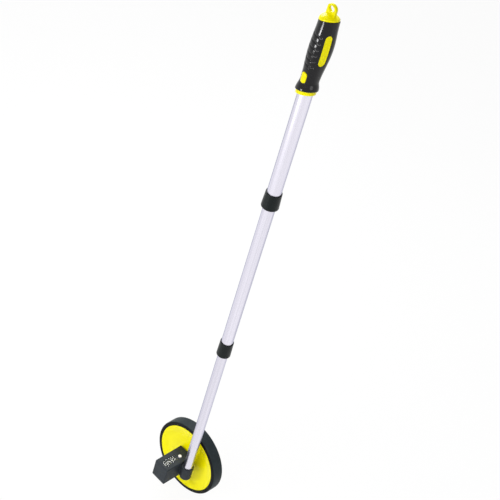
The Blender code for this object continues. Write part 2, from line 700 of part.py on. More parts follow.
def tyre():
    """A solid rubber tyre with rounded edges, turned about the axle."""
    half = TYRE_WIDTH / 2
    inner = DISC_RADIUS + GAP
    profile = rounded(TYRE_RADIUS - TYRE_EDGE, half - TYRE_EDGE, TYRE_EDGE, 1, 0)
    profile += rounded(TYRE_RADIUS - TYRE_EDGE, TYRE_EDGE - half, TYRE_EDGE, 0, -1)
    profile += [(inner, -half), (inner, half)]
    return turned("tyre", profile, TYRE_RUBBER, (AXLE_X, WHEEL_OFFSET_Y, AXLE_Z), ALONG_Y, WHEEL_STEPS)


def wheel_disc():
    """The yellow wheel: a dished face at the counter's side, a rim, a hub, and spokes behind the face."""
    front = -DISC_WIDTH / 2
    back = DISC_WIDTH / 2
    floor = front + DISC_DISH
    lip = DISC_RADIUS - DISC_RIM_LIP
    inside = DISC_RADIUS - DISC_WALL
    profile = [(0, back), (HUB_RADIUS, back), (HUB_RADIUS, floor + DISC_WALL), (inside, floor + DISC_WALL)]
    profile += [(inside, back), (DISC_RADIUS, back), (DISC_RADIUS, front + EDGE)]
    profile += [(DISC_RADIUS - EDGE, front), (lip, front)]
    for i in range(1, ARC_STEPS + 1):
        share = i / ARC_STEPS
        depth = DISC_DISH * math.sin(QUARTER * share)
        profile.append((lip + (DISC_RING_RADIUS - lip) * share, front + depth))
    for i in range(1, ARC_STEPS + 1):
        share = i / ARC_STEPS
        radius = DISC_RING_RADIUS + (HUB_RADIUS - DISC_RING_RADIUS) * share
        profile.append((radius, eased(floor, front + EDGE, share)))
    profile.append((0, front + EDGE))
    at = (AXLE_X, WHEEL_OFFSET_Y, AXLE_Z)
    disc = turned("wheel_disc", profile, YELLOW_PLASTIC, at, ALONG_Y, WHEEL_STEPS)
    reach = inside + DISC_WALL / 2
    for i in range(SPOKE_COUNT // 2):
        size = (2 * reach, SPOKE_THICKNESS, SPOKE_HEIGHT)
        middle_y = WHEEL_OFFSET_Y + floor + DISC_WALL / 2 + SPOKE_HEIGHT / 2
        spokes = block(f"spokes_{i + 1}", size, None, (AXLE_X, middle_y, AXLE_Z))
        spokes.rotation_mode = "QUATERNION"
        turn = Matrix.Rotation(2 * math.pi * i / SPOKE_COUNT, 4, "Y") @ Matrix.Rotation(QUARTER, 4, "X")
        spokes.rotation_quaternion = turn.to_quaternion()
        fuse(disc, spokes)
    hub_bore = rod("hub_bore", AXLE_HUB_RADIUS + GAP, -DISC_WIDTH, DISC_WIDTH, None, at, ALONG_Y, ROUND)
    return cut(disc, hub_bore)


def axle():
    """The stepped axle: gear seat, journal in the counter, shoulder, hub seat and thread."""
    start = DRUM_END_Y - MATE_WIDTH
    seat = RIGHT_FRAME_Y - FRAME_THICKNESS - GAP
    shoulder = BOX_END_Y + BUSH_FLANGE + GAP
    hub = DISC_FRONT_Y + EDGE - GAP
    end = DISC_BACK_Y + GAP + WASHER_THICKNESS + AXLE_THREAD_LENGTH
    profile = [(0, end), (AXLE_HUB_RADIUS - EDGE, end), (AXLE_HUB_RADIUS, end - EDGE), (AXLE_HUB_RADIUS, hub)]
    profile += [(AXLE_SHOULDER_RADIUS, hub), (AXLE_SHOULDER_RADIUS, shoulder), (AXLE_BOX_RADIUS, shoulder)]
    profile += [(AXLE_BOX_RADIUS, seat), (AXLE_TIP_RADIUS, seat), (AXLE_TIP_RADIUS, start), (0, start)]
    return turned("axle", profile, BRIGHT_STEEL, (AXLE_X, 0, AXLE_Z), ALONG_Y, COARSE)


def axle_fastening():
    low = DISC_BACK_Y + GAP
    bore = AXLE_HUB_RADIUS + GAP
    at = (AXLE_X, 0, AXLE_Z)
    ring("axle_washer", WASHER_RADIUS, bore, low, low + WASHER_THICKNESS, BRIGHT_STEEL, at, ALONG_Y)
    seat = low + WASHER_THICKNESS + GAP + NUT_THICKNESS / 2
    outlines = [circle(NUT_RADIUS, NUT_SIDES), circle(bore, COARSE)]
    plate("axle_nut", outlines, NUT_THICKNESS, BRIGHT_STEEL, (AXLE_X, seat, AXLE_Z), ALONG_Y)


def axle_bush(name, seat_y, length, flange_y):
    """A flanged bush for the axle, its flange on the side that faces the wheel."""
    end = seat_y - length
    rim = flange_y + BUSH_FLANGE
    profile = [(BUSH_FLANGE_RADIUS, rim), (BUSH_FLANGE_RADIUS, flange_y), (BUSH_RADIUS, flange_y)]
    profile += [(BUSH_RADIUS, end), (BUSH_BORE, end), (BUSH_BORE, rim)]
    return turned(name, profile, GEAR_BRASS, (AXLE_X, 0, AXLE_Z), ALONG_Y, COARSE)


def post_places():
    reach_x = INNER_WIDTH / 2 - POST_RADIUS
    reach_z = INNER_HEIGHT / 2 - POST_RADIUS
    return [(BOX_X + sx * reach_x, BOX_Z + sz * reach_z) for sx in (-1, 1) for sz in (-1, 1)]


def counter_body():
    """The casing, closed at its free end, with its window, button hole, screw posts and pole socket."""
    length = BODY_END_Y - BOX_FREE_Y
    middle_y = (BODY_END_Y + BOX_FREE_Y) / 2
    size = (BOX_WIDTH, length, BOX_HEIGHT)
    body = block("counter_body", size, CASING_PLASTIC, (BOX_X, middle_y, BOX_Z), BOX_EDGE, EDGE_SEGMENTS)
    wall_x = BOX_X + BOX_WIDTH / 2 - BOX_WALL / 2
    web_size = (-wall_x, WEB_WIDTH, CUP_RIM_Z - CUP_BOTTOM_Z - 2 * CUP_EDGE)
    web = block("socket_web", web_size, None, (wall_x / 2, 0, (CUP_RIM_Z + CUP_BOTTOM_Z) / 2))
    cup = [(0, CUP_RIM_Z), (CUP_RADIUS - EDGE, CUP_RIM_Z), (CUP_RADIUS, CUP_RIM_Z - EDGE)]
    cup += rounded(CUP_RADIUS - CUP_EDGE, CUP_BOTTOM_Z + CUP_EDGE, CUP_EDGE, 0, -1) + [(0, CUP_BOTTOM_Z)]
    fuse(body, turned("socket_cup", cup, None), web)
    hollow_length = length - BOX_WALL + OVERRUN
    hollow_y = BOX_FREE_Y + BOX_WALL + hollow_length / 2
    hollow = (INNER_WIDTH, hollow_length, INNER_HEIGHT)
    cut(body, block("casing_hollow", hollow, None, (BOX_X, hollow_y, BOX_Z)))
    for i, (x, z) in enumerate(post_places()):
        low = BODY_END_Y - POST_LENGTH
        size = (2 * POST_RADIUS + GAP, POST_LENGTH - GAP, 2 * POST_RADIUS + GAP)
        fuse(body, block(f"screw_post_{i + 1}", size, None, (x, low + size[1] / 2, z)))
        reach = (low + BOX_WALL, BODY_END_Y + OVERRUN)
        cut(body, rod(f"post_hole_{i + 1}", SCREW_RADIUS + GAP, *reach, None, (x, 0, z), ALONG_Y))
    bore = LOWER_TUBE_RADIUS + GAP
    hole = TUBE_SCREW_RADIUS + GAP
    sink = TUBE_SCREW_HEAD_RADIUS + GAP
    floor = LOWER_BOTTOM_Z - GAP
    sink_top = CUP_BOTTOM_Z + TUBE_SCREW_HEAD
    steps = [(bore, CUP_RIM_Z + OVERRUN), (bore, floor), (hole, floor), (hole, sink_top)]
    steps += [(sink, sink_top), (sink, CUP_BOTTOM_Z - OVERRUN)]
    cut(body, stepped_hole("socket_bore", steps, (0, 0, 0), (0, 0, 0), FINE))
    opening = (WINDOW_WIDTH, WINDOW_LENGTH, 2 * BOX_WALL + OVERRUN)
    cut(body, block("window_cut", opening, None, (WINDOW_X, WINDOW_Y, CEILING_Z)))
    step_size = (WINDOW_WIDTH + 2 * WINDOW_STEP, WINDOW_LENGTH + 2 * WINDOW_STEP, 2 * WINDOW_STEP)
    cut(body, block("window_step", step_size, None, (WINDOW_X, WINDOW_Y, BOX_TOP_Z)))
    reach = (CEILING_Z - OVERRUN, BOX_TOP_Z + OVERRUN)
    hole = rod("button_hole", BUTTON_RADIUS + GAP, *reach, None, (BUTTON_X, BUTTON_Y, 0), steps=ROUND)
    return cut(body, hole)


def window_lens():
    rim = 2 * WINDOW_STEP - 2 * GAP
    size = (WINDOW_WIDTH + rim, WINDOW_LENGTH + rim, LENS_THICKNESS - GAP)
    z = BOX_TOP_Z - WINDOW_STEP + GAP + (LENS_THICKNESS - GAP) / 2
    return block("window_lens", size, LENS_PLASTIC, (WINDOW_X, WINDOW_Y, z))


def counter_cover():
    """The end plate at the wheel's side, with a boss inside for the axle's bush and sunk screw holes."""
    middle_y = BOX_END_Y - COVER_THICKNESS / 2
    size = (BOX_WIDTH, COVER_THICKNESS, BOX_HEIGHT)
    cover = block("counter_cover", size, CASING_PLASTIC, (BOX_X, middle_y, BOX_Z))
    edge = cover.modifiers.new("edge", "BEVEL")
    edge.width = EDGE
    edge.segments = 1
    inner_y = BOX_END_Y - COVER_THICKNESS
    at = (AXLE_X, 0, AXLE_Z)
    seat_radius = BUSH_RADIUS + GAP
    boss_end = inner_y - COVER_BOSS
    fuse(cover, rod("cover_boss", seat_radius + BUSH_WALL, boss_end, middle_y, None, at, ALONG_Y, ROUND))
    bore = (boss_end - OVERRUN, BOX_END_Y + OVERRUN)
    cut(cover, rod("cover_bush_hole", seat_radius, *bore, None, at, ALONG_Y, ROUND))
    sink = SCREW_HEAD_RADIUS + GAP
    hole = SCREW_RADIUS + GAP
    seat = BOX_END_Y - SCREW_HEAD - GAP
    steps = [(sink, BOX_END_Y + OVERRUN), (sink, seat), (hole, seat), (hole, inner_y - OVERRUN)]
    for i, (x, z) in enumerate(post_places()):
        cut(cover, stepped_hole(f"cover_hole_{i + 1}", steps, (x, 0, z), ALONG_Y, COARSE))
    return cover


def cover_screws():
    for i, (x, z) in enumerate(post_places()):
        seat = BOX_END_Y - SCREW_HEAD
        top = BOX_END_Y - GAP
        profile = [(0, top), (SCREW_HEAD_RADIUS, top), (SCREW_HEAD_RADIUS, seat), (SCREW_RADIUS, seat)]
        profile += [(SCREW_RADIUS, seat - SCREW_LENGTH), (0, seat - SCREW_LENGTH)]
        screw = turned(f"cover_screw_{i + 1}", profile, BRIGHT_STEEL, (x, 0, z), ALONG_Y, COARSE)
        size = (2 * SCREW_HEAD_RADIUS + OVERRUN, SCREW_HEAD, SCREW_SLOT)
        cut(screw, block(f"screw_slot_{i + 1}", size, None, (x, top, z)))


def tube_fastening():
    """A plug in the tube's foot and the screw that draws the tube into the socket."""
    plug = LOWER_TUBE_RADIUS - TUBE_WALL - GAP
    bore = TUBE_SCREW_RADIUS + GAP
    top = LOWER_BOTTOM_Z + PLUG_LENGTH
    ring("tube_foot_plug", plug, bore, LOWER_BOTTOM_Z, top, WORKS_PLASTIC, steps=ROUND)
    seat = CUP_BOTTOM_Z + TUBE_SCREW_HEAD - GAP
    low = CUP_BOTTOM_Z + GAP
    tip = seat + TUBE_SCREW_LENGTH
    profile = [(0, tip), (TUBE_SCREW_RADIUS, tip), (TUBE_SCREW_RADIUS, seat)]
    profile += [(TUBE_SCREW_HEAD_RADIUS, seat), (TUBE_SCREW_HEAD_RADIUS, low), (0, low)]
    screw = turned("tube_screw", profile, BRIGHT_STEEL, steps=COARSE)
    size = (2 * TUBE_SCREW_HEAD_RADIUS + OVERRUN, SCREW_SLOT, SCREW_SLOT)
    cut(screw, block("tube_screw_slot", size, None, (0, 0, low)))


def frame_plates():
    """The two plates that carry both shafts. The one at the wheel's side has the spring's shelf."""
    size = (INNER_WIDTH - 2 * GAP, FRAME_THICKNESS, INNER_HEIGHT - 2 * GAP)
    left = block("left_frame_plate", size, BRIGHT_STEEL, (BOX_X, LEFT_FRAME_Y - FRAME_THICKNESS / 2, BOX_Z))
    right_middle = RIGHT_FRAME_Y - FRAME_THICKNESS / 2
    right = block("right_frame_plate", size, BRIGHT_STEEL, (BOX_X, right_middle, BOX_Z))
    far = BUTTON_Y + BUTTON_FLANGE_RADIUS
    shelf = (SHELF_WIDTH, far - right_middle, FRAME_THICKNESS)
    at = (BUTTON_X, (far + right_middle) / 2, (SHELF_TOP_Z + SHELF_BOTTOM_Z) / 2)
    fuse(right, block("spring_shelf", shelf, None, at))
    drop = (SHELF_BOTTOM_Z - OVERRUN, SHELF_TOP_Z + OVERRUN)
    cut(right, rod("stem_hole", BUTTON_STEM_RADIUS + GAP, *drop, None, (BUTTON_X, BUTTON_Y, 0)))
    bore = (RIGHT_FRAME_Y - FRAME_THICKNESS - OVERRUN, RIGHT_FRAME_Y + OVERRUN / 2)
    cut(right, rod("plate_bush_hole", BUSH_RADIUS + GAP, *bore, None, (AXLE_X, 0, AXLE_Z), ALONG_Y, ROUND))
    for piece, face_y in ((left, LEFT_FRAME_Y), (right, RIGHT_FRAME_Y)):
        bore = (face_y - FRAME_THICKNESS - OVERRUN / 2, face_y + OVERRUN / 2)
        for shaft, radius, x, z in SHAFTS:
            cut(piece, rod(f"{piece.name}_{shaft}_hole", radius + GAP, *bore, None, (x, 0, z), ALONG_Y))


def shafts():
    for shaft, radius, x, z in SHAFTS:
        rod(shaft, radius, SHAFT_START_Y, RIGHT_FRAME_Y, BRIGHT_STEEL, (x, 0, z), ALONG_Y)


def drum(index):
    """One number drum. Drum 1 counts fastest, sits nearest the wheel, and is driven by the axle."""
    end = DRUM_END_Y - (index - 1) * DRUM_PITCH
    gear_start = end - GEAR_WIDTH
    start = gear_start - DRUM_RIM
    bore = DRUM_SHAFT_RADIUS + GAP
    at = (DRUM_X, 0, DRUM_Z)
    piece = ring(f"drum_{index}", DRUM_RADIUS, bore, start, gear_start, DRUM_PLASTIC, at, ALONG_Y, ROUND)
    if index == 1:
        facing = math.pi + DRIVE_ANGLE + math.pi / DRUM_DRIVE_TEETH
        sizes = (DRUM_DRIVE_TEETH, DRUM_DRIVE_PITCH_RADIUS, DRIVE_ADDENDUM, DRIVE_DEDENDUM)
    else:
        facing = PINION_ANGLE + math.pi / RING_TEETH
        sizes = (RING_TEETH, DRUM_RING_RADIUS, CARRY_ADDENDUM, CARRY_DEDENDUM)
    outline = teeth_outline(*sizes, -facing)
    thickness = GEAR_WIDTH + DRUM_RIM / 2
    teeth = plate(f"drum_{index}_teeth", [outline], thickness, None, at, ALONG_Y, end - thickness / 2)
    hole = rod(f"drum_{index}_bore", bore, start - OVERRUN, end + OVERRUN, None, at, ALONG_Y, ROUND)
    return cut(fuse(piece, teeth), hole)


def pinion(index):
    """The carry pinion between a drum and the next slower one, whose ring it drives."""
    end = DRUM_END_Y - index * DRUM_PITCH
    sizes = (PINION_TEETH, PINION_PITCH_RADIUS, CARRY_ADDENDUM, CARRY_DEDENDUM)
    outlines = [teeth_outline(*sizes, -PINION_ANGLE - math.pi), circle(PINION_SHAFT_RADIUS + GAP, COARSE)]
    at = (PINION_X, 0, PINION_Z)
    return plate(f"pinion_{index}", outlines, MATE_WIDTH, GEAR_BRASS, at, ALONG_Y, end - MATE_WIDTH / 2)


def drive_gear():
    outline = teeth_outline(DRIVE_TEETH, DRIVE_PITCH_RADIUS, DRIVE_ADDENDUM, DRIVE_DEDENDUM, -DRIVE_ANGLE)
    outlines = [outline, circle(AXLE_TIP_RADIUS + GAP, COARSE)]
    at = (AXLE_X, 0, AXLE_Z)
    return plate("drive_gear", outlines, MATE_WIDTH, GEAR_BRASS, at, ALONG_Y, DRUM_END_Y - MATE_WIDTH / 2)


def reset_button():
    """The round push button: its head, the flange that keeps it in and the stem that guides it."""
    top = BOX_TOP_Z + BUTTON_PROUD
    flange_top = BUTTON_FLANGE_Z + BUTTON_FLANGE
    profile = [(0, top), (BUTTON_RADIUS - BUTTON_EDGE, top), (BUTTON_RADIUS, top - BUTTON_EDGE)]
    profile += [(BUTTON_RADIUS, flange_top), (BUTTON_FLANGE_RADIUS, flange_top)]
    profile += [(BUTTON_FLANGE_RADIUS, BUTTON_FLANGE_Z)]
    stem_end = BUTTON_FLANGE_Z - BUTTON_STEM_LENGTH
    profile += [(BUTTON_STEM_RADIUS, BUTTON_FLANGE_Z), (BUTTON_STEM_RADIUS, stem_end), (0, stem_end)]
    return turned("reset_button", profile, WORKS_PLASTIC, (BUTTON_X, BUTTON_Y, 0), steps=ROUND)


def reset_spring():
    """The button's return spring, one open coil of round wire between the shelf and the flange."""
    curve = bpy.data.curves.new("reset_spring", "CURVE")
    curve.dimensions = "3D"
    curve.bevel_depth = SPRING_WIRE / 2
    curve.bevel_resolution = 1
    curve.use_fill_caps = True
    low = SHELF_TOP_Z + GAP + SPRING_WIRE / 2
    high = BUTTON_FLANGE_Z - GAP - SPRING_WIRE / 2
    count = SPRING_TURNS * SPRING_POINTS
    spline = curve.splines.new("POLY")
    spline.points.add(count)
    for i, point in enumerate(spline.points):
        angle = 2 * math.pi * i / SPRING_POINTS
        height = low + (high - low) * i / count
        point.co = (SPRING_RADIUS * math.cos(angle), SPRING_RADIUS * math.sin(angle), height, 1)
    gap = (high - low) / SPRING_TURNS - SPRING_WIRE
    print(f"reset_spring: least gap between turns {gap * 1000:.2f} mm")
    return place("reset_spring", curve, BRIGHT_STEEL, (BUTTON_X, BUTTON_Y, 0))


def bushes():
    axle_bush("cover_bush", BOX_END_Y, COVER_THICKNESS + COVER_BOSS, BOX_END_Y + GAP)
    axle_bush("plate_bush", RIGHT_FRAME_Y, FRAME_THICKNESS, RIGHT_FRAME_Y + GAP)


def build():
    end_cap()
    handle_core()
    grip_sleeve()
    pole()
    tyre()
    wheel_disc()
    axle()
    axle_fastening()
    bushes()
    counter_body()
    window_lens()
    counter_cover()
    cover_screws()
    tube_fastening()
    frame_plates()
    shafts()
    for index in range(1, DRUM_COUNT + 1):
        drum(index)
    for index in range(1, DRUM_COUNT):
        pinion(index)
    drive_gear()
    reset_button()
    reset_spring()


build()
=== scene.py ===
"""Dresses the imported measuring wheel: its visible pieces, their finishes, the stage and the camera."""

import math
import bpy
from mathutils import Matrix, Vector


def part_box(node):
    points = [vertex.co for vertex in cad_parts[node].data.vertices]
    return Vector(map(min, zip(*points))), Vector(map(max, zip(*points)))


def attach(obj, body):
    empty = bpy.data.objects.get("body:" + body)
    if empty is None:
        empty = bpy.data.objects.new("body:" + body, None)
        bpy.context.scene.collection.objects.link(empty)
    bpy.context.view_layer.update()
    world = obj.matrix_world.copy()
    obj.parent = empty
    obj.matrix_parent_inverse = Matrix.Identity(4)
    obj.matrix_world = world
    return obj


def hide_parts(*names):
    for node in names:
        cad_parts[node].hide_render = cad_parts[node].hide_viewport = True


bl_info = {
    "name": "Measuring wheel",
    "version": (1, 0, 0),
    "blender": (4, 5, 0),
    "location": "3D View > Sidebar > Measuring wheel",
    "description": "Builds the visible pieces and finishes of a measuring wheel with a telescopic pole",
    "category": "Mesh",
}

import bmesh
import bpy
from bpy.props import FloatProperty, FloatVectorProperty, PointerProperty
from mathutils import Matrix, Vector

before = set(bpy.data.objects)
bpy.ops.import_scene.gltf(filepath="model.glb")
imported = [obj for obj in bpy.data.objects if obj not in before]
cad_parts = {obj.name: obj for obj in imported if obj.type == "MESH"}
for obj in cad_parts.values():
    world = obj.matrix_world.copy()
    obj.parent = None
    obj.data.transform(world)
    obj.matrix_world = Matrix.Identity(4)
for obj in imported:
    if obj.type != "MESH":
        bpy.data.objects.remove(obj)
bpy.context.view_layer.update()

# Numbers that no user would change
FULL_TURN = 2 * math.pi
HALF_TURN = math.pi
QUARTER_TURN = math.pi / 2
ALONG_Y = Matrix.Rotation(-QUARTER_TURN, 4, "X")
WELD = 0.000002
OVERRUN = 0.002
SINK = 0.00002
FIT = 0.0003
TINY = 0.0001
SMOOTH_ANGLE = math.radians(32)
CORNER_STEPS = 5
MADE_HERE = "_finish"
CLOUD_SPREAD = 2.3

# Fineness
TUBE_STEPS = 96
SMALL_STEPS = 64
GRIP_STEPS = 192
GRIP_ROWS = 230
WHEEL_STEPS = 192
EASE_STEPS = 14
SLOT_END_STEPS = 20
SLOT_RUN_STEPS = 40
DIGIT_SLICES = 10
THREAD_STEPS = 36
CAP_VOXEL = 0.00034
CAP_SMOOTHING = 10
EDGE_ANGLE = math.radians(35)

# Places that the frame gives
TYRE_LOW, TYRE_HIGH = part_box("tyre")
DISC_LOW, DISC_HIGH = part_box("wheel_disc")
GRIP_LOW, GRIP_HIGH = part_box("grip_sleeve")
CORE_LOW, CORE_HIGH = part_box("handle_core")
BODY_LOW, BODY_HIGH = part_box("counter_body")
COVER_LOW, COVER_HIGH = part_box("counter_cover")
LENS_LOW, LENS_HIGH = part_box("window_lens")
BUTTON_LOW, BUTTON_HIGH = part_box("reset_button")
AXLE_LOW, AXLE_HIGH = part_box("axle")
NUT_LOW, NUT_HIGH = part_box("axle_nut")
WASHER_LOW, WASHER_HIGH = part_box("axle_washer")
TUBE_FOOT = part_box("lower_tube")[0].z
HUB_AT = (TYRE_LOW + TYRE_HIGH) / 2
BUTTON_AT = (BUTTON_LOW + BUTTON_HIGH) / 2
LENS_AT = (LENS_LOW + LENS_HIGH) / 2
HUB_LINE = (HUB_AT.x, 0, HUB_AT.z)
BUTTON_LINE = (BUTTON_AT.x, BUTTON_AT.y, 0)
LENS_LINE = (LENS_AT.x, LENS_AT.y, 0)

# Handle
HANDLE_TURN = math.radians(-6)
THUMB_FACING = -QUARTER_TURN
ISLAND_ANGLE = math.radians(78)
ISLAND_SHARE = 0.36
GRIP_BORE = 0.0142
GRIP_TOP_RADIUS = 0.0159
GRIP_BELLY_RADIUS = 0.0175
GRIP_WAIST_RADIUS = 0.0149
GRIP_FLARE_RADIUS = 0.0185
GRIP_EDGE = 0.0008
GRIP_EDGE_ROOM = 0.00128
BELLY_SHARE = 0.4
WAIST_SHARE = 0.83
PALM_SHARE = 0.36
PALM_START = 0.45
PALM_ROUNDING = 0.7
SLANT_FACING = math.radians(-27)
SLANT_FADE = 0.03
CORE_BORE = 0.0128
CORE_RADIUS = 0.0139
RING_RADIUS = 0.0162
RING_TOP = -0.1546
RING_EDGE = 0.0007
ISLAND_LENGTH = 0.0545
ISLAND_WIDTH = 0.012
ISLAND_PROUD = -0.0001
ISLAND_RIM = 0.0009
PAD_LENGTH = 0.021
PAD_WIDTH = 0.0105
PAD_SHARE = 0.785
GROOVE_COUNT = 6
GROOVE_PITCH = 0.0108
GROOVE_REACH = math.radians(46)
GROOVE_FADE = 4
CAP_RADIUS = 0.0162
CAP_TOP = -0.0112
CAP_BASE = -0.0215
CAP_RIM = 0.002
SPIGOT_RADIUS = 0.0125
SPIGOT_WALL = 0.002
SPIGOT_LENGTH = 0.012
LOOP_HALF_WIDTH = 0.0058
LOOP_HALF_HEIGHT = 0.0054
LOOP_BAND = 0.0037
LOOP_ROOT = 0.003
WEB_SHARE = 1.2

# Pole
TUBE_WALL = 0.001
TUBE_EDGE = 0.0003
COLLET_ROOM = 0.0136
COLLAR_THROAT_PLAY = 0.0006
COLLAR_CHAMBER_PLAY = 0.0008
# A collar's node, its tube's node and radius, the inner tube's radius, its own at top and foot, and its body
COLLARS = (
    ("upper_collar", "upper_tube", 0.0125, 0.011, 0.0143, 0.0157, "upper_lock"),
    ("lower_collar", "middle_tube", 0.011, 0.0095, 0.0126, 0.0133, "lower_lock"),
)
TUBES = (
    ("upper_tube", 0.0125, "handle_section"),
    ("middle_tube", 0.011, "middle_section"),
    ("lower_tube", 0.0095, "lower_section"),
)

# Wheel
TYRE_RADIUS = 0.0796
TYRE_SEAT = 0.0718
DISC_RADIUS = 0.0715
DISC_LIP = 0.0699
DISC_INSIDE = 0.0685
TREAD_START = 0.0788
TREAD_BLEND = 0.0004
DISC_WALL = 0.003
DISC_RING_RADIUS = 0.05
DISC_FACE_EDGE = 0.0004
HUB_RADIUS = 0.0115
HUB_BORE = 0.0043
SPOKE_COUNT = 6
SPOKE_START = 0.009
SPOKE_END = 0.0705
SPOKE_HEIGHT = 0.012
SPOKE_FOOT_SHARE = 2.4

# Axle
AXLE_RADIUS = 0.004
AXLE_BOX_RADIUS = 0.003
AXLE_TIP_RADIUS = 0.0014
AXLE_SHOULDER_RADIUS = 0.006
AXLE_SEAT_Y = -0.0064
AXLE_SHOULDER_Y = 0.0221
AXLE_HUB_Y = 0.0234
NUT_RADIUS = 0.0075
NUT_SIDES = 6
NUT_CHAMFER = math.radians(30)
CREST_START = 0.42
CREST_END = 0.58
WASHER_RADIUS = 0.009

# Counter
CASING_WIDTH = 0.0348
CASING_WALL = 0.002
CUP_RADIUS = 0.0118
CUP_RIM = -1.0868
CUP_BOTTOM = -1.1181
CUP_EDGE = 0.0028
SOCKET_BORE = 0.0098
FOOT_HOLE = 0.0019
FOOT_SINK = 0.0033
FOOT_SINK_DEPTH = 0.0016
WEB_WIDTH = 0.018
WINDOW_WIDTH = 0.012
WINDOW_LENGTH = 0.033
WINDOW_STEP = 0.001
POST_SIZE = 0.0059
POST_LENGTH = 0.0117
SCREW_HOLE = 0.0014
SCREW_SINK = 0.0023
SCREW_SINK_DEPTH = 0.0016
BUSH_HOLE = 0.0054
BOSS_RADIUS = 0.0072
BOSS_LENGTH = 0.0025
BUTTON_RADIUS = 0.0035
BUTTON_FLANGE_RADIUS = 0.0046
BUTTON_STEM_RADIUS = 0.0015
BUTTON_DISH_FLOOR = 0.35
BUTTON_DISH_RIM = 0.75
BUTTON_FLANGE_TOP = -1.085
BUTTON_FLANGE_BOTTOM = -1.086
DRUM_RADIUS = 0.0098
DRUM_COUNT = 5
DRUM_RING_WIDTH = 0.0014
DRUM_AT = (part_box("drum_shaft")[0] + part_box("drum_shaft")[1]) / 2


def srgb(red, green, blue):
    """A colour picked as it looks on a screen, as the shader wants it."""
    shades = [c / 255 for c in (red, green, blue)]
    return tuple(c / 12.92 if c <= 10 / 255 else ((c + 0.055) / 1.055) ** 2.4 for c in shades)


def length(name, default, description):
    return FloatProperty(
        name=name, description=description, default=default, min=0, unit="LENGTH", precision=5
    )


def share(name, default, description):
    return FloatProperty(name=name, description=description, default=default, min=0, max=1, subtype="FACTOR")


def power(name, default, description):
    return FloatProperty(name=name, description=description, default=default, min=0, subtype="POWER")


def colour(name, rgb, description):
    return FloatVectorProperty(
        name=name, description=description, default=srgb(*rgb), size=3, min=0, max=1, subtype="COLOR"
    )


class HandleSizes(bpy.types.PropertyGroup):
    """Sizes of the handle's details"""

    loop_thickness: length("Loop thickness", 0.006, "Thickness of the hang loop")
    groove_depth: length("Finger groove depth", 0.0011, "Depth of each finger groove in the grip")
    groove_width: length("Finger groove width", 0.0056, "Width of each finger groove along the grip")
    palm_bulge: length("Palm bulge", 0.0035, "How far the grip swells on the palm side")
    palm_lean: length("Palm lean", 0.0016, "How far the cap and the grip's belly lie towards the palm")
    ring_lift: length("Ring lift", 0.003, "How far the grip's lower end is drawn up")
    cap_slant: share("Cap slant", 0.37, "Slope of the line between the end cap and the grip")
    cap_drop: length("Cap drop", 0.0015, "How far that line lies below the solid's")
    cap_share: share("Cap share", 0.85, "Height of the cap and its loop, as a share of the solid's")
    ring_slant: share("Ring slant", 0.34, "Slope of the grip's lower end")
    pad_height: length("Thumb pad height", 0.0022, "How far the thumb pad stands proud of the grip")
    island_sink: length("Island recess", 0.0004, "How far each island's middle lies below its rim")


class PoleSizes(bpy.types.PropertyGroup):
    """Sizes of the pole's details"""

    collar_top_edge: length("Collar top edge", 0.0007, "Rounding of a collar's upper edge")
    collar_bottom_edge: length("Collar bottom edge", 0.001, "Rounding of a collar's lower edge")


class WheelSizes(bpy.types.PropertyGroup):
    """Sizes of the wheel's details"""

    tyre_edge: length("Tyre edge", 0.0026, "Rounding of the tyre's outer edges")
    dish: length("Dish depth", 0.0034, "How far the disc's face sinks from its rim")
    spoke_thickness: length("Spoke thickness", 0.0025, "Thickness of the spokes behind the face")
    thread_pitch: length("Thread pitch", 0.001, "Pitch of the thread at the axle's end")
    thread_depth: length("Thread depth", 0.0005, "Depth of the thread at the axle's end")


class CounterSizes(bpy.types.PropertyGroup):
    """Sizes of the counter's details"""

    casing_edge: length("Casing edge", 0.0022, "Rounding of the casing's outer edges")
    break_edge: length("Broken edge", 0.00025, "Small rounding of the casing's cut edges")
    window_corner: length("Window corner", 0.0012, "Rounding of the window's corners")
    digit_height: length("Digit height", 0.0047, "Height of the numbers on the drums")
    button_dish: length("Button dish", 0.00035, "How far the button's top is dished")


class FinishColours(bpy.types.PropertyGroup):
    """Colours of the finishes"""

    yellow: colour("Yellow plastic", (244, 234, 0), "Wheel disc, end cap and handle core")
    grip: colour("Grip rubber", (11, 11, 14), "Soft grip")
    tyre: colour("Tyre rubber", (10, 12, 15), "Tyre")
    # The tread's colour is paler than the walls': partly ground wear, partly painted sheen
    tread: colour("Tyre tread", (40, 48, 51), "Ground tread of the tyre")
    collar: colour("Collar plastic", (9, 18, 18), "Twist-lock collars")
    casing: colour("Casing plastic", (48, 53, 58), "Counter casing")
    aluminium: colour("Aluminium", (240, 237, 250), "Pole tubes")
    steel: colour("Steel", (196, 197, 200), "Axle, nut, screws, shafts and frame plates")
    brass: colour("Brass", (206, 176, 104), "Gears and bushes")
    white: colour("White plastic", (232, 228, 228), "Button, bushes of the pole and split rings")
    digits: colour("Digits", (228, 228, 212), "Numbers on the drums")
    drums: colour("Drums", (24, 25, 27), "Number drums")


class StageSettings(bpy.types.PropertyGroup):
    """Light and stage"""

    world_strength: FloatProperty(
        name="World strength", description="Even light from all round", default=0.4, min=0
    )
    key_power: power("Key power", 26, "Main soft lamp")
    fill_power: power("Fill power", 12, "Soft lamp beside")
    top_power: power("Top power", 20, "Soft lamp above the wheel")
    strip_power: power("Strip power", 5.5, "Narrow lamp that draws a streak on the grip")
    floor_glow: share("Floor glow", 0.93, "Share of the floor's white that shadows leave alone")


class MeasuringWheel(bpy.types.PropertyGroup):
    """Everything that a user would change"""

    handle: PointerProperty(type=HandleSizes)
    pole: PointerProperty(type=PoleSizes)
    wheel: PointerProperty(type=WheelSizes)
    counter: PointerProperty(type=CounterSizes)
    colours: PointerProperty(type=FinishColours)
    stage: PointerProperty(type=StageSettings)


def settings():
    return bpy.context.scene.measuring_wheel


# Forms

def clamped(value):
    return min(1, max(0, value))


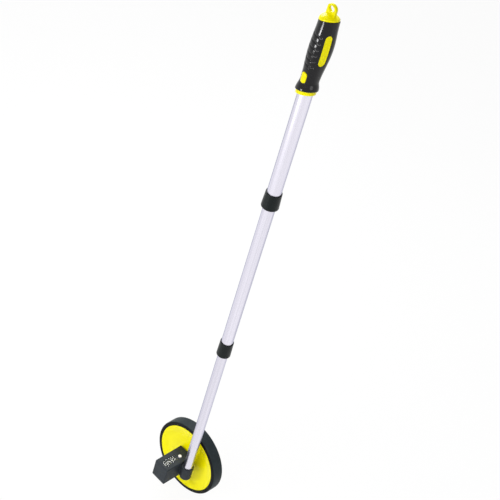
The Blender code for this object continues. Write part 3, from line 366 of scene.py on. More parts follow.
def linked(name, data):
    """A new object of the scene."""
    made = bpy.data.objects.new(name, data)
    bpy.context.scene.collection.objects.link(made)
    return made


def meshed(name, made):
    """A mesh from a form, which is used up."""
    mesh = bpy.data.meshes.new(name)
    made.to_mesh(mesh)
    made.free()
    return mesh


def widened(vert, by):
    """Moves a vertex to a multiple of its distance from the Z axis."""
    vert.co.x *= by
    vert.co.y *= by


def softened(corners, closed):
    """The points of an outline whose corners, given as (x, y) or (x, y, fillet), are rounded."""
    points = []
    last = len(corners) - 1
    for i, corner in enumerate(corners):
        here = Vector(corner[:2])
        fillet = corner[2] if len(corner) > 2 else 0
        if not fillet or (not closed and i in (0, last)):
            points.append(here)
            continue
        back = (Vector(corners[i - 1][:2]) - here).normalized()
        ahead = (Vector(corners[(i + 1) % len(corners)][:2]) - here).normalized()
        half = back.angle(ahead) / 2
        centre = here + (back + ahead).normalized() * (fillet / math.sin(half))
        start = here + back * (fillet / math.tan(half)) - centre
        end = here + ahead * (fillet / math.tan(half)) - centre
        sweep = HALF_TURN - 2 * half
        for step in range(CORNER_STEPS + 1):
            done = sweep * step / CORNER_STEPS
            turned_by = (start * math.sin(sweep - done) + end * math.sin(done)) / math.sin(sweep)
            points.append(centre + turned_by)
    return points


def wire(made, points, closed):
    """Edges through points in the XZ plane, as geometry for a spin."""
    verts = [made.verts.new((x, 0, z)) for x, z in points]
    pairs = list(zip(verts, verts[1:]))
    if closed:
        pairs.append((verts[-1], verts[0]))
    return verts + [made.edges.new(pair) for pair in pairs]


def settled(made):
    """Merges doubles and points all faces outwards."""
    bmesh.ops.remove_doubles(made, verts=made.verts, dist=WELD)
    bmesh.ops.recalc_face_normals(made, faces=made.faces)
    return made


def spun(corners, steps, at=(0, 0, 0), turn=None, closed=False):
    """A profile of (radius, height) corners spun about its own Z. A closed profile makes a ring."""
    made = bmesh.new()
    geometry = wire(made, softened(corners, closed), closed)
    bmesh.ops.spin(
        made, geom=geometry, cent=(0, 0, 0), axis=(0, 0, 1), dvec=(0, 0, 0), angle=FULL_TURN, steps=steps,
        use_merge=True,
    )
    settled(made)
    return placed(made, at, turn)


def placed(made, at=(0, 0, 0), turn=None):
    if turn is not None:
        bmesh.ops.transform(made, matrix=turn, verts=made.verts)
    bmesh.ops.translate(made, vec=at, verts=made.verts)
    return made


def prism(corners, low, high):
    """An outline in XY with rounded corners, extruded from one height to another."""
    made = bmesh.new()
    face = made.faces.new([made.verts.new((x, y, low)) for x, y in softened(corners, True)])
    raised = bmesh.ops.extrude_face_region(made, geom=[face])["geom"]
    top = [item for item in raised if isinstance(item, bmesh.types.BMVert)]
    bmesh.ops.translate(made, vec=(0, 0, high - low), verts=top)
    return settled(made)


def rectangle(width, depth, corner):
    x, y = width / 2, depth / 2
    return [(x, y, corner), (-x, y, corner), (-x, -y, corner), (x, -y, corner)]


def box_form(low, high, edge=0.0, keep=None):
    """A box between two corners whose edges are rounded, apart from those that keep() names."""
    made = bmesh.new()
    bmesh.ops.create_cube(made, size=1)
    low, high = Vector(low), Vector(high)
    bmesh.ops.scale(made, vec=high - low, verts=made.verts)
    placed(made, (low + high) / 2)
    if edge:
        chosen = [e for e in made.edges if keep is None or not keep(e)]
        bmesh.ops.bevel(
            made, geom=chosen, offset=edge, offset_type="OFFSET", segments=CORNER_STEPS, profile=0.5,
            affect="EDGES", clamp_overlap=True, material=-1,
        )
    return settled(made)


def rod_form(radius, low, high, at=(0, 0, 0), turn=None, steps=SMALL_STEPS):
    return spun([(0, high), (radius, high), (radius, low), (0, low)], steps, at, turn)


def joined(*forms):
    """Several closed forms in one, the first of them grown by the rest."""
    made = forms[0]
    for form in forms[1:]:
        carried = meshed("carried", form)
        made.from_mesh(carried)
        bpy.data.meshes.remove(carried)
    return made


def helper_object(made):
    return linked("helper", meshed("helper", made))


def evaluated_mesh(thing):
    graph = bpy.context.evaluated_depsgraph_get()
    return bpy.data.meshes.new_from_object(thing.evaluated_get(graph))


def modified(made, *steps):
    """The form after modifiers, each given as a kind and its settings, which may hold other forms."""
    base = helper_object(made)
    helpers = [base]
    for kind, values in steps:
        step = base.modifiers.new(kind.lower(), kind)
        for name, value in values.items():
            if isinstance(value, bmesh.types.BMesh):
                value = helper_object(value)
                helpers.append(value)
            setattr(step, name, value)
    result = bmesh.new()
    mesh = evaluated_mesh(base)
    result.from_mesh(mesh)
    bpy.data.meshes.remove(mesh)
    for helper in helpers:
        bpy.data.objects.remove(helper)
    return result


def cut_by(form):
    return "BOOLEAN", {"operation": "DIFFERENCE", "solver": "EXACT", "object": form}


def grown_by(form):
    return "BOOLEAN", {"operation": "UNION", "solver": "EXACT", "object": form}


def kept_in(form):
    return "BOOLEAN", {"operation": "INTERSECT", "solver": "EXACT", "object": form}


def broken_edges(width, segments=2):
    return "BEVEL", {"width": width, "segments": segments, "limit_method": "ANGLE", "angle_limit": EDGE_ANGLE}


def show(name, made, looks, body, *nodes, slot=None):
    """Makes a form a finished piece that rides on a body and stands for CAD nodes.

    The slot that it is given is not used.
    """
    slot = slot or looks[0]
    mesh = meshed(name, made)
    mesh.shade_smooth()
    mesh.set_sharp_from_angle(angle=SMOOTH_ANGLE)
    for look in looks:
        mesh.materials.append(finish(look))
    piece = linked(name, mesh)
    weighted = piece.modifiers.new("weighted", "WEIGHTED_NORMAL")
    weighted.keep_sharp = True
    shaded = evaluated_mesh(piece)
    piece.modifiers.clear()
    piece.data = shaded
    bpy.data.meshes.remove(mesh)
    shaded.name = name
    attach(piece, body)
    if nodes:
        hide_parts(*nodes)
    return piece


# Finishes

# Colour, least and most roughness, spot size, skin depth, tone change, size of worn patches, specular level
MOULDED = {
    "yellow_plastic": ("yellow", 0.18, 0.3, 0.0009, 0.000012, 0.03, 0.02, 0.12),
    "grip_rubber": ("grip", 0.13, 0.2, 0.00035, 0.000003, 0.12, 0.011, 0.3),
    "collar_plastic": ("collar", 0.3, 0.42, 0.00028, 0.000008, 0.1, 0.008, 0.2),
    "casing_plastic": ("casing", 0.42, 0.56, 0.00022, 0.00003, 0.07, 0.007, 0.12),
    "white_plastic": ("white", 0.3, 0.42, 0.0006, 0.00001, 0.03, 0.006, 0.5),
    "drum_plastic": ("drums", 0.4, 0.52, 0.0003, 0.00001, 0.1, 0.003, 0.5),
    "digit_paint": ("digits", 0.45, 0.6, 0.0002, 0.00001, 0.05, 0.002, 0.5),
}
# Colour, least and most roughness, stretch of the lines, line width and depth, tone change, tint at the edges
DRAWN = {
    "tube_aluminium": ("aluminium", 0.2, 0.34, (1, 1, 0.004), 0.0045, 0.000006, 0.2, (0.42, 0.44, 0.54)),
    "bright_steel": ("steel", 0.22, 0.4, (1, 0.2, 1), 0.0006, 0.000004, 0.06, (1, 1, 1)),
    "gear_brass": ("brass", 0.25, 0.42, (1, 1, 1), 0.0008, 0.000004, 0.06, (1, 1, 1)),
}


def node(tree, kind, inputs=None, **values):
    made = tree.nodes.new(kind)
    for name, value in values.items():
        setattr(made, name, value)
    for name, value in (inputs or {}).items():
        if isinstance(value, bpy.types.NodeSocket):
            tree.links.new(value, made.inputs[name])
        else:
            made.inputs[name].default_value = value
    return made


def new_finish(name, tint, roughness, **sockets):
    """A finish whose shader has a tint, a roughness and other plain values."""
    made = bpy.data.materials.new(name + MADE_HERE)
    made.use_nodes = True
    made.diffuse_color = (*tint, 1)
    tree = made.node_tree
    shader = tree.nodes["Principled BSDF"]
    shader.inputs["Base Color"].default_value = (*tint, 1)
    shader.inputs["Roughness"].default_value = roughness
    for socket, value in sockets.items():
        shader.inputs[socket.replace("_", " ")].default_value = value
    return made, tree, shader


def place_on(tree, stretch=(1, 1, 1), centre=(0, 0, 0)):
    """Object coordinates, measured from a centre and stretched."""
    where = node(tree, "ShaderNodeTexCoord")
    moved = calculated(tree, "SUBTRACT", where.outputs["Object"], tuple(centre), "ShaderNodeVectorMath")
    return calculated(tree, "MULTIPLY", moved, stretch, "ShaderNodeVectorMath")


def grain(tree, where, size, detail=3.0, rough=0.55):
    """Noise whose spots are about a given size across."""
    inputs = {"Vector": where, "Scale": 1 / size, "Detail": detail, "Roughness": rough}
    return node(tree, "ShaderNodeTexNoise", inputs).outputs["Fac"]


def ranged(tree, value, low, high, start=0.3, end=0.7):
    inputs = {"Value": value, "From Min": start, "From Max": end, "To Min": low, "To Max": high}
    return node(tree, "ShaderNodeMapRange", inputs).outputs["Result"]


def mixed(tree, factor, first, second):
    made = node(tree, "ShaderNodeMix", data_type="RGBA")
    tree.links.new(factor, made.inputs[0])
    for index, value in ((6, first), (7, second)):
        if isinstance(value, bpy.types.NodeSocket):
            tree.links.new(value, made.inputs[index])
        else:
            made.inputs[index].default_value = (*value, 1)
    return made.outputs[2]


def tinted(tree, shader, factor, first, second):
    """Colours a shader between two tints."""
    tree.links.new(mixed(tree, factor, first, second), shader.inputs["Base Color"])


def roughened(tree, shader, value, low, high):
    """Lets a value drive a shader's roughness."""
    tree.links.new(ranged(tree, value, low, high), shader.inputs["Roughness"])


def calculated(tree, operation, first, second, kind="ShaderNodeMath"):
    return node(tree, kind, {0: first, 1: second}, operation=operation).outputs[0]


def toned(tint, by):
    """A tint made lighter or darker by a share."""
    return tuple(clamped(c * (1 + by)) for c in tint)


def bumped(tree, shader, height, distance, strength=1.0, before=None):
    inputs = {"Height": height, "Distance": distance, "Strength": strength}
    if before is not None:
        inputs["Normal"] = before
    made = node(tree, "ShaderNodeBump", inputs)
    tree.links.new(made.outputs["Normal"], shader.inputs["Normal"])
    return made.outputs["Normal"]


def moulded(name):
    """Moulded plastic: cloudy gloss, a fine skin of a given spot size, and faint tone changes."""
    tint_name, smooth, rough, spot, depth, tone, wear, level = MOULDED[name]
    tint = tuple(getattr(settings().colours, tint_name))
    made, tree, shader = new_finish(name, tint, rough, Specular_IOR_Level=level)
    where = place_on(tree)
    roughened(tree, shader, grain(tree, where, wear, 4.0), smooth, rough)
    clouds = ranged(tree, grain(tree, where, wear * CLOUD_SPREAD, 2.0), 0, 1)
    tinted(tree, shader, clouds, toned(tint, -tone), toned(tint, tone))
    bumped(tree, shader, grain(tree, where, spot, 2.0), depth)
    return made


def tyre_rubber():
    """Black rubber with a paler tread, partly ground wear and partly painted sheen: fine rings round the
    wheel and a dusty bloom.
    """
    tint = tuple(settings().colours.tyre)
    made, tree, shader = new_finish("tyre_rubber", tint, 0.45, Specular_IOR_Level=0.1)
    where = place_on(tree, centre=HUB_AT)
    rings = {"Vector": where, "Scale": 260.0, "Distortion": 0.6, "Detail": 2.0, "Detail Scale": 3.0}
    ground = node(tree, "ShaderNodeTexWave", rings, wave_type="BANDS", bands_direction="Y").outputs["Fac"]
    skin = bumped(tree, shader, ground, 0.000012)
    bumped(tree, shader, grain(tree, where, 0.0004, 3.0), 0.00002, before=skin)
    bloom = grain(tree, where, 0.012, 5.0)
    roughened(tree, shader, bloom, 0.4, 0.56)
    wall = mixed(tree, ranged(tree, bloom, 0, 1), toned(tint, -0.15), toned(tint, 0.3))
    # painted sheen: the tread gets a paler colour, partly for ground wear and partly in place of the sheen of
    # light on it
    tread_and_sheen_tint = tuple(settings().colours.tread)
    tread = mixed(tree, ranged(tree, bloom, 0, 1), toned(tread_and_sheen_tint, -0.12), toned(tread_and_sheen_tint, 0.2))
    flat = calculated(tree, "MULTIPLY", where, (1, 0, 1), "ShaderNodeVectorMath")
    reach = node(tree, "ShaderNodeVectorMath", {0: flat}, operation="LENGTH").outputs["Value"]
    on_tread = ranged(tree, reach, 0, 1, TREAD_START - TREAD_BLEND, TREAD_START + TREAD_BLEND)
    tinted(tree, shader, on_tread, wall, tread)
    return made


def drawn_metal(name):
    """Metal with fine lines from drawing or turning, stretched along one way."""
    tint_name, smooth, rough, stretch, line, depth, streak, edge = DRAWN[name]
    tint = tuple(getattr(settings().colours, tint_name))
    made, tree, shader = new_finish(name, tint, rough, Metallic=1.0)
    shader.inputs["Specular Tint"].default_value = (*edge, 1)
    lines = grain(tree, place_on(tree, stretch), line, 4.0, 0.6)
    roughened(tree, shader, lines, smooth, rough)
    tinted(tree, shader, ranged(tree, lines, 0, 1), toned(tint, -streak), toned(tint, streak / 3))
    bumped(tree, shader, lines, depth)
    return made


def lens_plastic():
    """Clear plastic that lets light through to the drums, with faint wipe marks."""
    made, tree, shader = new_finish("lens_plastic", (0.2, 0.22, 0.22), 0.06, Alpha=0.14)
    made.surface_render_method = "BLENDED"
    wipes = grain(tree, place_on(tree, (1, 0.2, 1)), 0.002, 4.0)
    roughened(tree, shader, wipes, 0.03, 0.1)
    return made


def finish(name):
    """A finish by its name, made when it is first asked for."""
    made = bpy.data.materials.get(name + MADE_HERE)
    if made:
        return made
    if name in MOULDED:
        return moulded(name)
    if name in DRAWN:
        return drawn_metal(name)
    return {"tyre_rubber": tyre_rubber, "lens_plastic": lens_plastic}[name]()


# The handle's surface

def eased(start, end, run):
    return start + (end - start) * (1 - math.cos(HALF_TURN * run)) / 2


def grip_radius(height):
    """The grip's outer radius at a height of the pole."""
    down = clamped((GRIP_HIGH.z - height) / (GRIP_HIGH.z - GRIP_LOW.z))
    if down <= BELLY_SHARE:
        return eased(GRIP_TOP_RADIUS, GRIP_BELLY_RADIUS, down / BELLY_SHARE)
    if down <= WAIST_SHARE:
        return eased(GRIP_BELLY_RADIUS, GRIP_WAIST_RADIUS, (down - BELLY_SHARE) / (WAIST_SHARE - BELLY_SHARE))
    return eased(GRIP_WAIST_RADIUS, GRIP_FLARE_RADIUS, (down - WAIST_SHARE) / (1 - WAIST_SHARE))


def grip_height(down):
    return GRIP_HIGH.z + (GRIP_LOW.z - GRIP_HIGH.z) * down


def palm_swell(height, angle):
    """How far the grip swells towards the palm at a height and an angle."""
    down = clamped((GRIP_HIGH.z - height) / (GRIP_HIGH.z - GRIP_LOW.z))
    if down < PALM_SHARE:
        along = eased(PALM_START, 1, down / PALM_SHARE)
    else:
        along = eased(1, 0, (down - PALM_SHARE) / (1 - PALM_SHARE))
    aside = math.cos(angle - THUMB_FACING - HANDLE_TURN - HALF_TURN)
    sizes = settings().handle
    leaning = sizes.palm_lean * eased(1, 0, min(1, down / WAIST_SHARE)) * aside
    return sizes.palm_bulge * along * eased(0, 1, max(0, aside) ** PALM_ROUNDING) + leaning


def slanted(made):
    """Slopes both ends of the handle's pieces, draws up the lower one, and leaves the middle where it is."""
    sizes = settings().handle
    toward = Vector((math.cos(SLANT_FACING), math.sin(SLANT_FACING)))
    for vert in made.verts:
        side = vert.co.xy.dot(toward)
        high = vert.co.z
        rise = clamped((CAP_TOP - high) / (CAP_TOP - CAP_BASE - CAP_RIM))
        fall = clamped((high - GRIP_HIGH.z + SLANT_FADE) / SLANT_FADE)
        foot = clamped((GRIP_LOW.z + SLANT_FADE - high) / SLANT_FADE)
        low = eased(0, 1, foot)
        top = rise * eased(0, 1, fall)
        vert.co.z += side * (sizes.cap_slant * top + sizes.ring_slant * low)
        vert.co.z += sizes.ring_lift * low - sizes.cap_drop * top
    return made


def slot_form(section, slot_length, width):
    """A form with round ends along Y, from a section given as (distance from its middle line, height)."""
    made = bmesh.new()
    reach = (slot_length - width) / 2
    geometry = wire(made, section, False)
    placed(made, (0, reach, 0))
    for side in (1, -1):
        bend = {"cent": (0, side * reach, 0), "axis": (0, 0, 1), "angle": HALF_TURN, "dvec": (0, 0, 0)}
        geometry = bmesh.ops.spin(made, geom=geometry, steps=SLOT_END_STEPS, **bend)["geom_last"]
        step = -side * 2 * reach / SLOT_RUN_STEPS
        run = {"cent": (0, 0, 0), "axis": (0, 0, 1), "angle": 0, "dvec": (0, step, 0)}
        geometry = bmesh.ops.spin(made, geom=geometry, steps=SLOT_RUN_STEPS, **run)["geom_last"]
    return settled(made)


def wrapped(made, facing, down, floor=None):
    """Lays a form on the grip: X runs round it, Y up along it, and Z stands out of its surface."""
    middle = grip_height(down)
    around = grip_radius(middle)
    for vert in made.verts:
        x, y, z = vert.co
        angle = facing + HANDLE_TURN + x / around
        skin = grip_radius(middle + y) + palm_swell(middle + y, angle)
        radius = skin + z if floor is None or z > -FIT * 2 else floor
        vert.co = (radius * math.cos(angle), radius * math.sin(angle), middle + y)
    return made


def window_cutter(facing, down, slot_length, width):
    """Cuts the grip open for one of the core's islands."""
    half = width / 2 + FIT
    deep = GRIP_FLARE_RADIUS - CORE_RADIUS + OVERRUN
    section = [(0, OVERRUN), (half, OVERRUN), (half, -deep), (0, -deep)]
    return wrapped(slot_form(section, slot_length + 2 * FIT, width + 2 * FIT), facing, down)


def island(facing):
    """A side island with a raised rim round a sunk middle."""
    half = ISLAND_WIDTH / 2
    sunk = ISLAND_PROUD - settings().handle.island_sink
    foot = -3 * OVERRUN
    corners = [(0, sunk), (half - 2 * ISLAND_RIM, sunk, ISLAND_RIM / 2)]
    corners += [(half - ISLAND_RIM, ISLAND_PROUD, ISLAND_RIM / 3), (half, ISLAND_PROUD, ISLAND_RIM / 3)]
    corners += [(half, -FIT), (half, foot), (0, foot)]
    slot = slot_form(softened(corners, False), ISLAND_LENGTH, ISLAND_WIDTH)
    return wrapped(slot, facing, ISLAND_SHARE, CORE_RADIUS - FIT)


def thumb_pad():
    """The raised pad on the thumb side, crowned from edge to edge."""
    half = PAD_WIDTH / 2
    height = settings().handle.pad_height
    edge = height / 3
    section = []
    for i in range(EASE_STEPS + 1):
        angle = QUARTER_TURN * i / EASE_STEPS
        section.append(Vector((half * math.sin(angle), edge + (height - edge) * math.cos(angle))))
    section += [Vector((half, -FIT)), Vector((half, -3 * OVERRUN)), Vector((0, -3 * OVERRUN))]
    return wrapped(slot_form(section, PAD_LENGTH, PAD_WIDTH), THUMB_FACING, PAD_SHARE, CORE_RADIUS - FIT)


def finger_grooves(made):
    """Swells a spun grip on the palm side and sinks the finger grooves into its thumb side."""
    sizes = settings().handle
    facing = THUMB_FACING + HANDLE_TURN
    middle = grip_height(BELLY_SHARE)
    for vert in made.verts:
        radius = math.hypot(vert.co.x, vert.co.y)
        if radius < GRIP_BORE + FIT:
            continue
        angle = math.atan2(vert.co.y, vert.co.x)
        widened(vert, 1 + palm_swell(vert.co.z, angle) / radius)
        aside = abs(math.remainder(angle - facing, FULL_TURN)) / GROOVE_REACH
        if aside >= 1:
            continue
        sunk = 0
        for i in range(GROOVE_COUNT):
            off = vert.co.z - middle - GROOVE_PITCH * (i - (GROOVE_COUNT - 1) / 2)
            near = abs(off) / (sizes.groove_width / 2)
            if near < 1:
                sunk += (1 + math.cos(HALF_TURN * near)) / 2
        fade = min(1, (1 - aside) * GROOVE_FADE)
        widened(vert, 1 - sizes.groove_depth * sunk * eased(0, 1, fade) / radius)
    return made


class PieceOperator:
    """What the piece operators share"""

    bl_options = {"REGISTER", "UNDO"}

    def execute(self, context):
        self.build()
        return {"FINISHED"}


class BuildEndCap(PieceOperator, bpy.types.Operator):
    """Builds the domed end cap with its hang loop"""

    bl_idname = "measuring_wheel.end_cap"
    bl_label = "End cap"

    def build(self):
        dome = [(0, CAP_TOP)]
        for i in range(1, EASE_STEPS + 1):
            angle = QUARTER_TURN * i / EASE_STEPS
            rise = CAP_RIM + (CAP_TOP - CAP_BASE - CAP_RIM) * math.cos(angle)
            dome.append((CAP_RADIUS * math.sin(angle), CAP_BASE + rise))
        foot = CAP_BASE - SPIGOT_LENGTH
        dome += [(CAP_RADIUS, CAP_BASE), (SPIGOT_RADIUS, CAP_BASE), (SPIGOT_RADIUS, foot)]
        dome += [(SPIGOT_RADIUS - SPIGOT_WALL, foot), (SPIGOT_RADIUS - SPIGOT_WALL, CAP_BASE), (0, CAP_BASE)]
        half = settings().handle.loop_thickness / 2
        outer = LOOP_HALF_WIDTH + LOOP_BAND
        band = [(outer, half, half / 2), (LOOP_HALF_WIDTH, half, half / 2)]
        band += [(LOOP_HALF_WIDTH, -half, half / 2), (outer, -half, half / 2)]
        turn = Matrix.Rotation(HANDLE_TURN, 4, "Z")
        tall = (LOOP_HALF_HEIGHT + LOOP_BAND) / outer
        squeeze = Matrix.Diagonal((1, 1, tall, 1))
        loop = spun(band, SMALL_STEPS, turn=turn @ squeeze @ ALONG_Y, closed=True)
        root = CAP_TOP - LOOP_ROOT
        legs = [((LOOP_HALF_WIDTH + TINY, -half, root), (outer, half, 0))]
        legs += [((-outer, -half, root), (-LOOP_HALF_WIDTH - TINY, half, 0))]
        web = LOOP_HALF_WIDTH * WEB_SHARE
        legs += [((-web, -half, root), (web, half, -LOOP_HALF_HEIGHT - LOOP_BAND / 4))]
        forms = [placed(box_form(low, high, half / 2), turn=turn) for low, high in legs]
        rough = joined(spun(dome, TUBE_STEPS), loop, *forms)
        smooth = {"factor": 0.5, "iterations": CAP_SMOOTHING}
        made = modified(rough, ("REMESH", {"mode": "VOXEL", "voxel_size": CAP_VOXEL}), ("SMOOTH", smooth))
        low = CAP_BASE + CAP_RIM
        for vert in made.verts:
            vert.co.z = min(vert.co.z, low + (vert.co.z - low) * settings().handle.cap_share)
        palm = THUMB_FACING + HANDLE_TURN + HALF_TURN
        lean = settings().handle.palm_lean
        straight = [(vert, vert.co.copy()) for vert in made.verts if vert.co.z < CAP_BASE + CAP_VOXEL]
        placed(slanted(made), (lean * math.cos(palm), lean * math.sin(palm), 0))
        for vert, start in straight:
            # the bore and the spigot's foot stay straight, with room below them when the pole is closed
            inside = (SPIGOT_RADIUS - start.xy.length) / SPIGOT_WALL
            down = (CAP_BASE - start.z) / SPIGOT_LENGTH
            vert.co = vert.co.lerp(start, clamped(max(inside, down)))
        show("loop_end_cap", made, ["yellow_plastic"], "handle_section", "end_cap")


class BuildHandleCore(PieceOperator, bpy.types.Operator):
    """Builds the yellow inner handle with its bottom ring, side islands and thumb pad"""

    bl_idname = "measuring_wheel.handle_core"
    bl_label = "Handle core"

    def build(self):
        profile = [(CORE_RADIUS, CORE_HIGH.z), (CORE_RADIUS, RING_TOP), (RING_RADIUS, RING_TOP, RING_EDGE)]
        profile += [(RING_RADIUS, CORE_LOW.z, RING_EDGE), (CORE_BORE, CORE_LOW.z), (CORE_BORE, CORE_HIGH.z)]
        forms = [island(THUMB_FACING + side * ISLAND_ANGLE) for side in (1, -1)]
        made = joined(spun(profile, GRIP_STEPS, closed=True), *forms, thumb_pad())
        show("inner_handle", slanted(made), ["yellow_plastic"], "handle_section", "handle_core")


class BuildGrip(PieceOperator, bpy.types.Operator):
    """Builds the soft grip with its finger grooves and the openings for the islands"""

    bl_idname = "measuring_wheel.grip"
    bl_label = "Grip"

    def build(self):
        heights = [grip_height(i / GRIP_ROWS) for i in range(GRIP_ROWS + 1)]
        rows = [(grip_radius(z), z) for z in heights]
        top, bottom = rows[0], rows[-1]
        rows = [(r, z) for r, z in rows if GRIP_LOW.z + GRIP_EDGE_ROOM < z < GRIP_HIGH.z - GRIP_EDGE_ROOM]
        profile = [(*top, GRIP_EDGE)] + rows + [(*bottom, GRIP_EDGE)]
        profile += [(GRIP_BORE, GRIP_LOW.z), (GRIP_BORE, GRIP_HIGH.z)]
        made = finger_grooves(spun(profile, GRIP_STEPS, closed=True))
        opening = (ISLAND_SHARE, ISLAND_LENGTH, ISLAND_WIDTH)
        cutters = [window_cutter(THUMB_FACING + side * ISLAND_ANGLE, *opening) for side in (1, -1)]
        cutters.append(window_cutter(THUMB_FACING, PAD_SHARE, PAD_LENGTH, PAD_WIDTH))
        made = modified(made, *[cut_by(cutter) for cutter in cutters])
        show("soft_grip", slanted(made), ["grip_rubber"], "handle_section", "grip_sleeve")


class BuildPole(PieceOperator, bpy.types.Operator):
    """Builds the three tubes and the two twist-lock collars"""

    bl_idname = "measuring_wheel.pole"
    bl_label = "Pole"

    def build(self):
        for node_name, radius, body in TUBES:
            low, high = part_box(node_name)
            inner = radius - TUBE_WALL
            profile = [(radius, high.z, TUBE_EDGE), (radius, low.z, TUBE_EDGE)]
            profile += [(inner, low.z, TUBE_EDGE), (inner, high.z, TUBE_EDGE)]
            made = spun(profile, TUBE_STEPS, closed=True)
            show(f"pole_{node_name}", made, ["tube_aluminium"], body, node_name)
        sizes = settings().pole
        for node_name, tube_name, tube, inner_tube, top_radius, bottom_radius, body in COLLARS:
            low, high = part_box(node_name)
            tube_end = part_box(tube_name)[0].z
            throat = inner_tube + COLLAR_THROAT_PLAY
            chamber = tube + COLLAR_CHAMBER_PLAY
            collet_end = tube_end - COLLET_ROOM
            profile = [(top_radius, high.z, sizes.collar_top_edge)]
            profile += [(bottom_radius, low.z, sizes.collar_bottom_edge), (throat, low.z, FIT)]
            profile += [(throat, collet_end), (chamber, collet_end), (chamber, tube_end + FIT)]
            profile += [(tube + FIT, tube_end + FIT), (tube + FIT, high.z, FIT)]
            made = spun(profile, TUBE_STEPS, closed=True)
            show(f"twist_{node_name}", made, ["collar_plastic"], body, node_name)


class BuildTyre(PieceOperator, bpy.types.Operator):
    """Builds the rubber tyre"""

    bl_idname = "measuring_wheel.tyre"
    bl_label = "Tyre"

    def build(self):
        half = (TYRE_HIGH.y - TYRE_LOW.y) / 2
        edge = settings().wheel.tyre_edge
        profile = [(TYRE_RADIUS, half, edge), (TYRE_RADIUS, -half, edge)]
        profile += [(TYRE_SEAT, -half, FIT), (TYRE_SEAT, half, FIT)]
        made = spun(profile, WHEEL_STEPS, HUB_AT, ALONG_Y, closed=True)
        show("rubber_tyre", made, ["tyre_rubber"], "wheel", "tyre")


class BuildWheelDisc(PieceOperator, bpy.types.Operator):
    """Builds the dished wheel disc with its rim, hub and spokes"""

    bl_idname = "measuring_wheel.wheel_disc"
    bl_label = "Wheel disc"

    def build(self):
        sizes = settings().wheel
        front, back = DISC_LOW.y - HUB_AT.y, DISC_HIGH.y - HUB_AT.y
        floor = front + sizes.dish
        behind = floor + DISC_WALL
        profile = [(HUB_BORE, back, FIT), (HUB_RADIUS, back, 2 * FIT), (HUB_RADIUS, behind, 5 * FIT)]
        profile += [(DISC_INSIDE, behind, 5 * FIT), (DISC_INSIDE, back, FIT), (DISC_RADIUS, back, FIT)]
        profile += [(DISC_RADIUS, front, DISC_FACE_EDGE), (DISC_LIP, front, DISC_FACE_EDGE)]
        for i in range(1, EASE_STEPS + 1):
            run = i / EASE_STEPS
            deep = sizes.dish * math.sin(QUARTER_TURN * run)
            profile.append((DISC_LIP + (DISC_RING_RADIUS - DISC_LIP) * run, front + deep))
        for i in range(1, EASE_STEPS + 1):
            run = i / EASE_STEPS
            radius = DISC_RING_RADIUS + (HUB_RADIUS - DISC_RING_RADIUS) * run
            profile.append((radius, eased(floor, front + DISC_FACE_EDGE, run)))
        profile.append((HUB_BORE, front + DISC_FACE_EDGE, FIT))
        made = spun(profile, WHEEL_STEPS, HUB_AT, ALONG_Y, closed=True)
        made = joined(made, *self.spokes(HUB_AT.y + behind))
        show("yellow_wheel_disc", made, ["yellow_plastic"], "wheel", "wheel_disc")

    def spokes(self, behind_y):
        half = settings().wheel.spoke_thickness / 2
        foot = half * SPOKE_FOOT_SHARE
        low = -2 * FIT
        section = [(-foot, low), (-foot, -SINK), (-half, -SINK, half), (-half, SPOKE_HEIGHT, half / 2)]
        section += [(half, SPOKE_HEIGHT, half / 2), (half, -SINK, half), (foot, -SINK), (foot, low)]
        forms = []
        for i in range(SPOKE_COUNT):
            made = prism(section, SPOKE_START, SPOKE_END)
            upright = Matrix(((0, 0, 1, 0), (0, 1, 0, 0), (-1, 0, 0, 0), (0, 0, 0, 1)))
            turn = Matrix.Rotation(FULL_TURN * i / SPOKE_COUNT, 4, "Y")
            forms.append(placed(made, (HUB_AT.x, behind_y, HUB_AT.z), turn @ upright))
        return forms


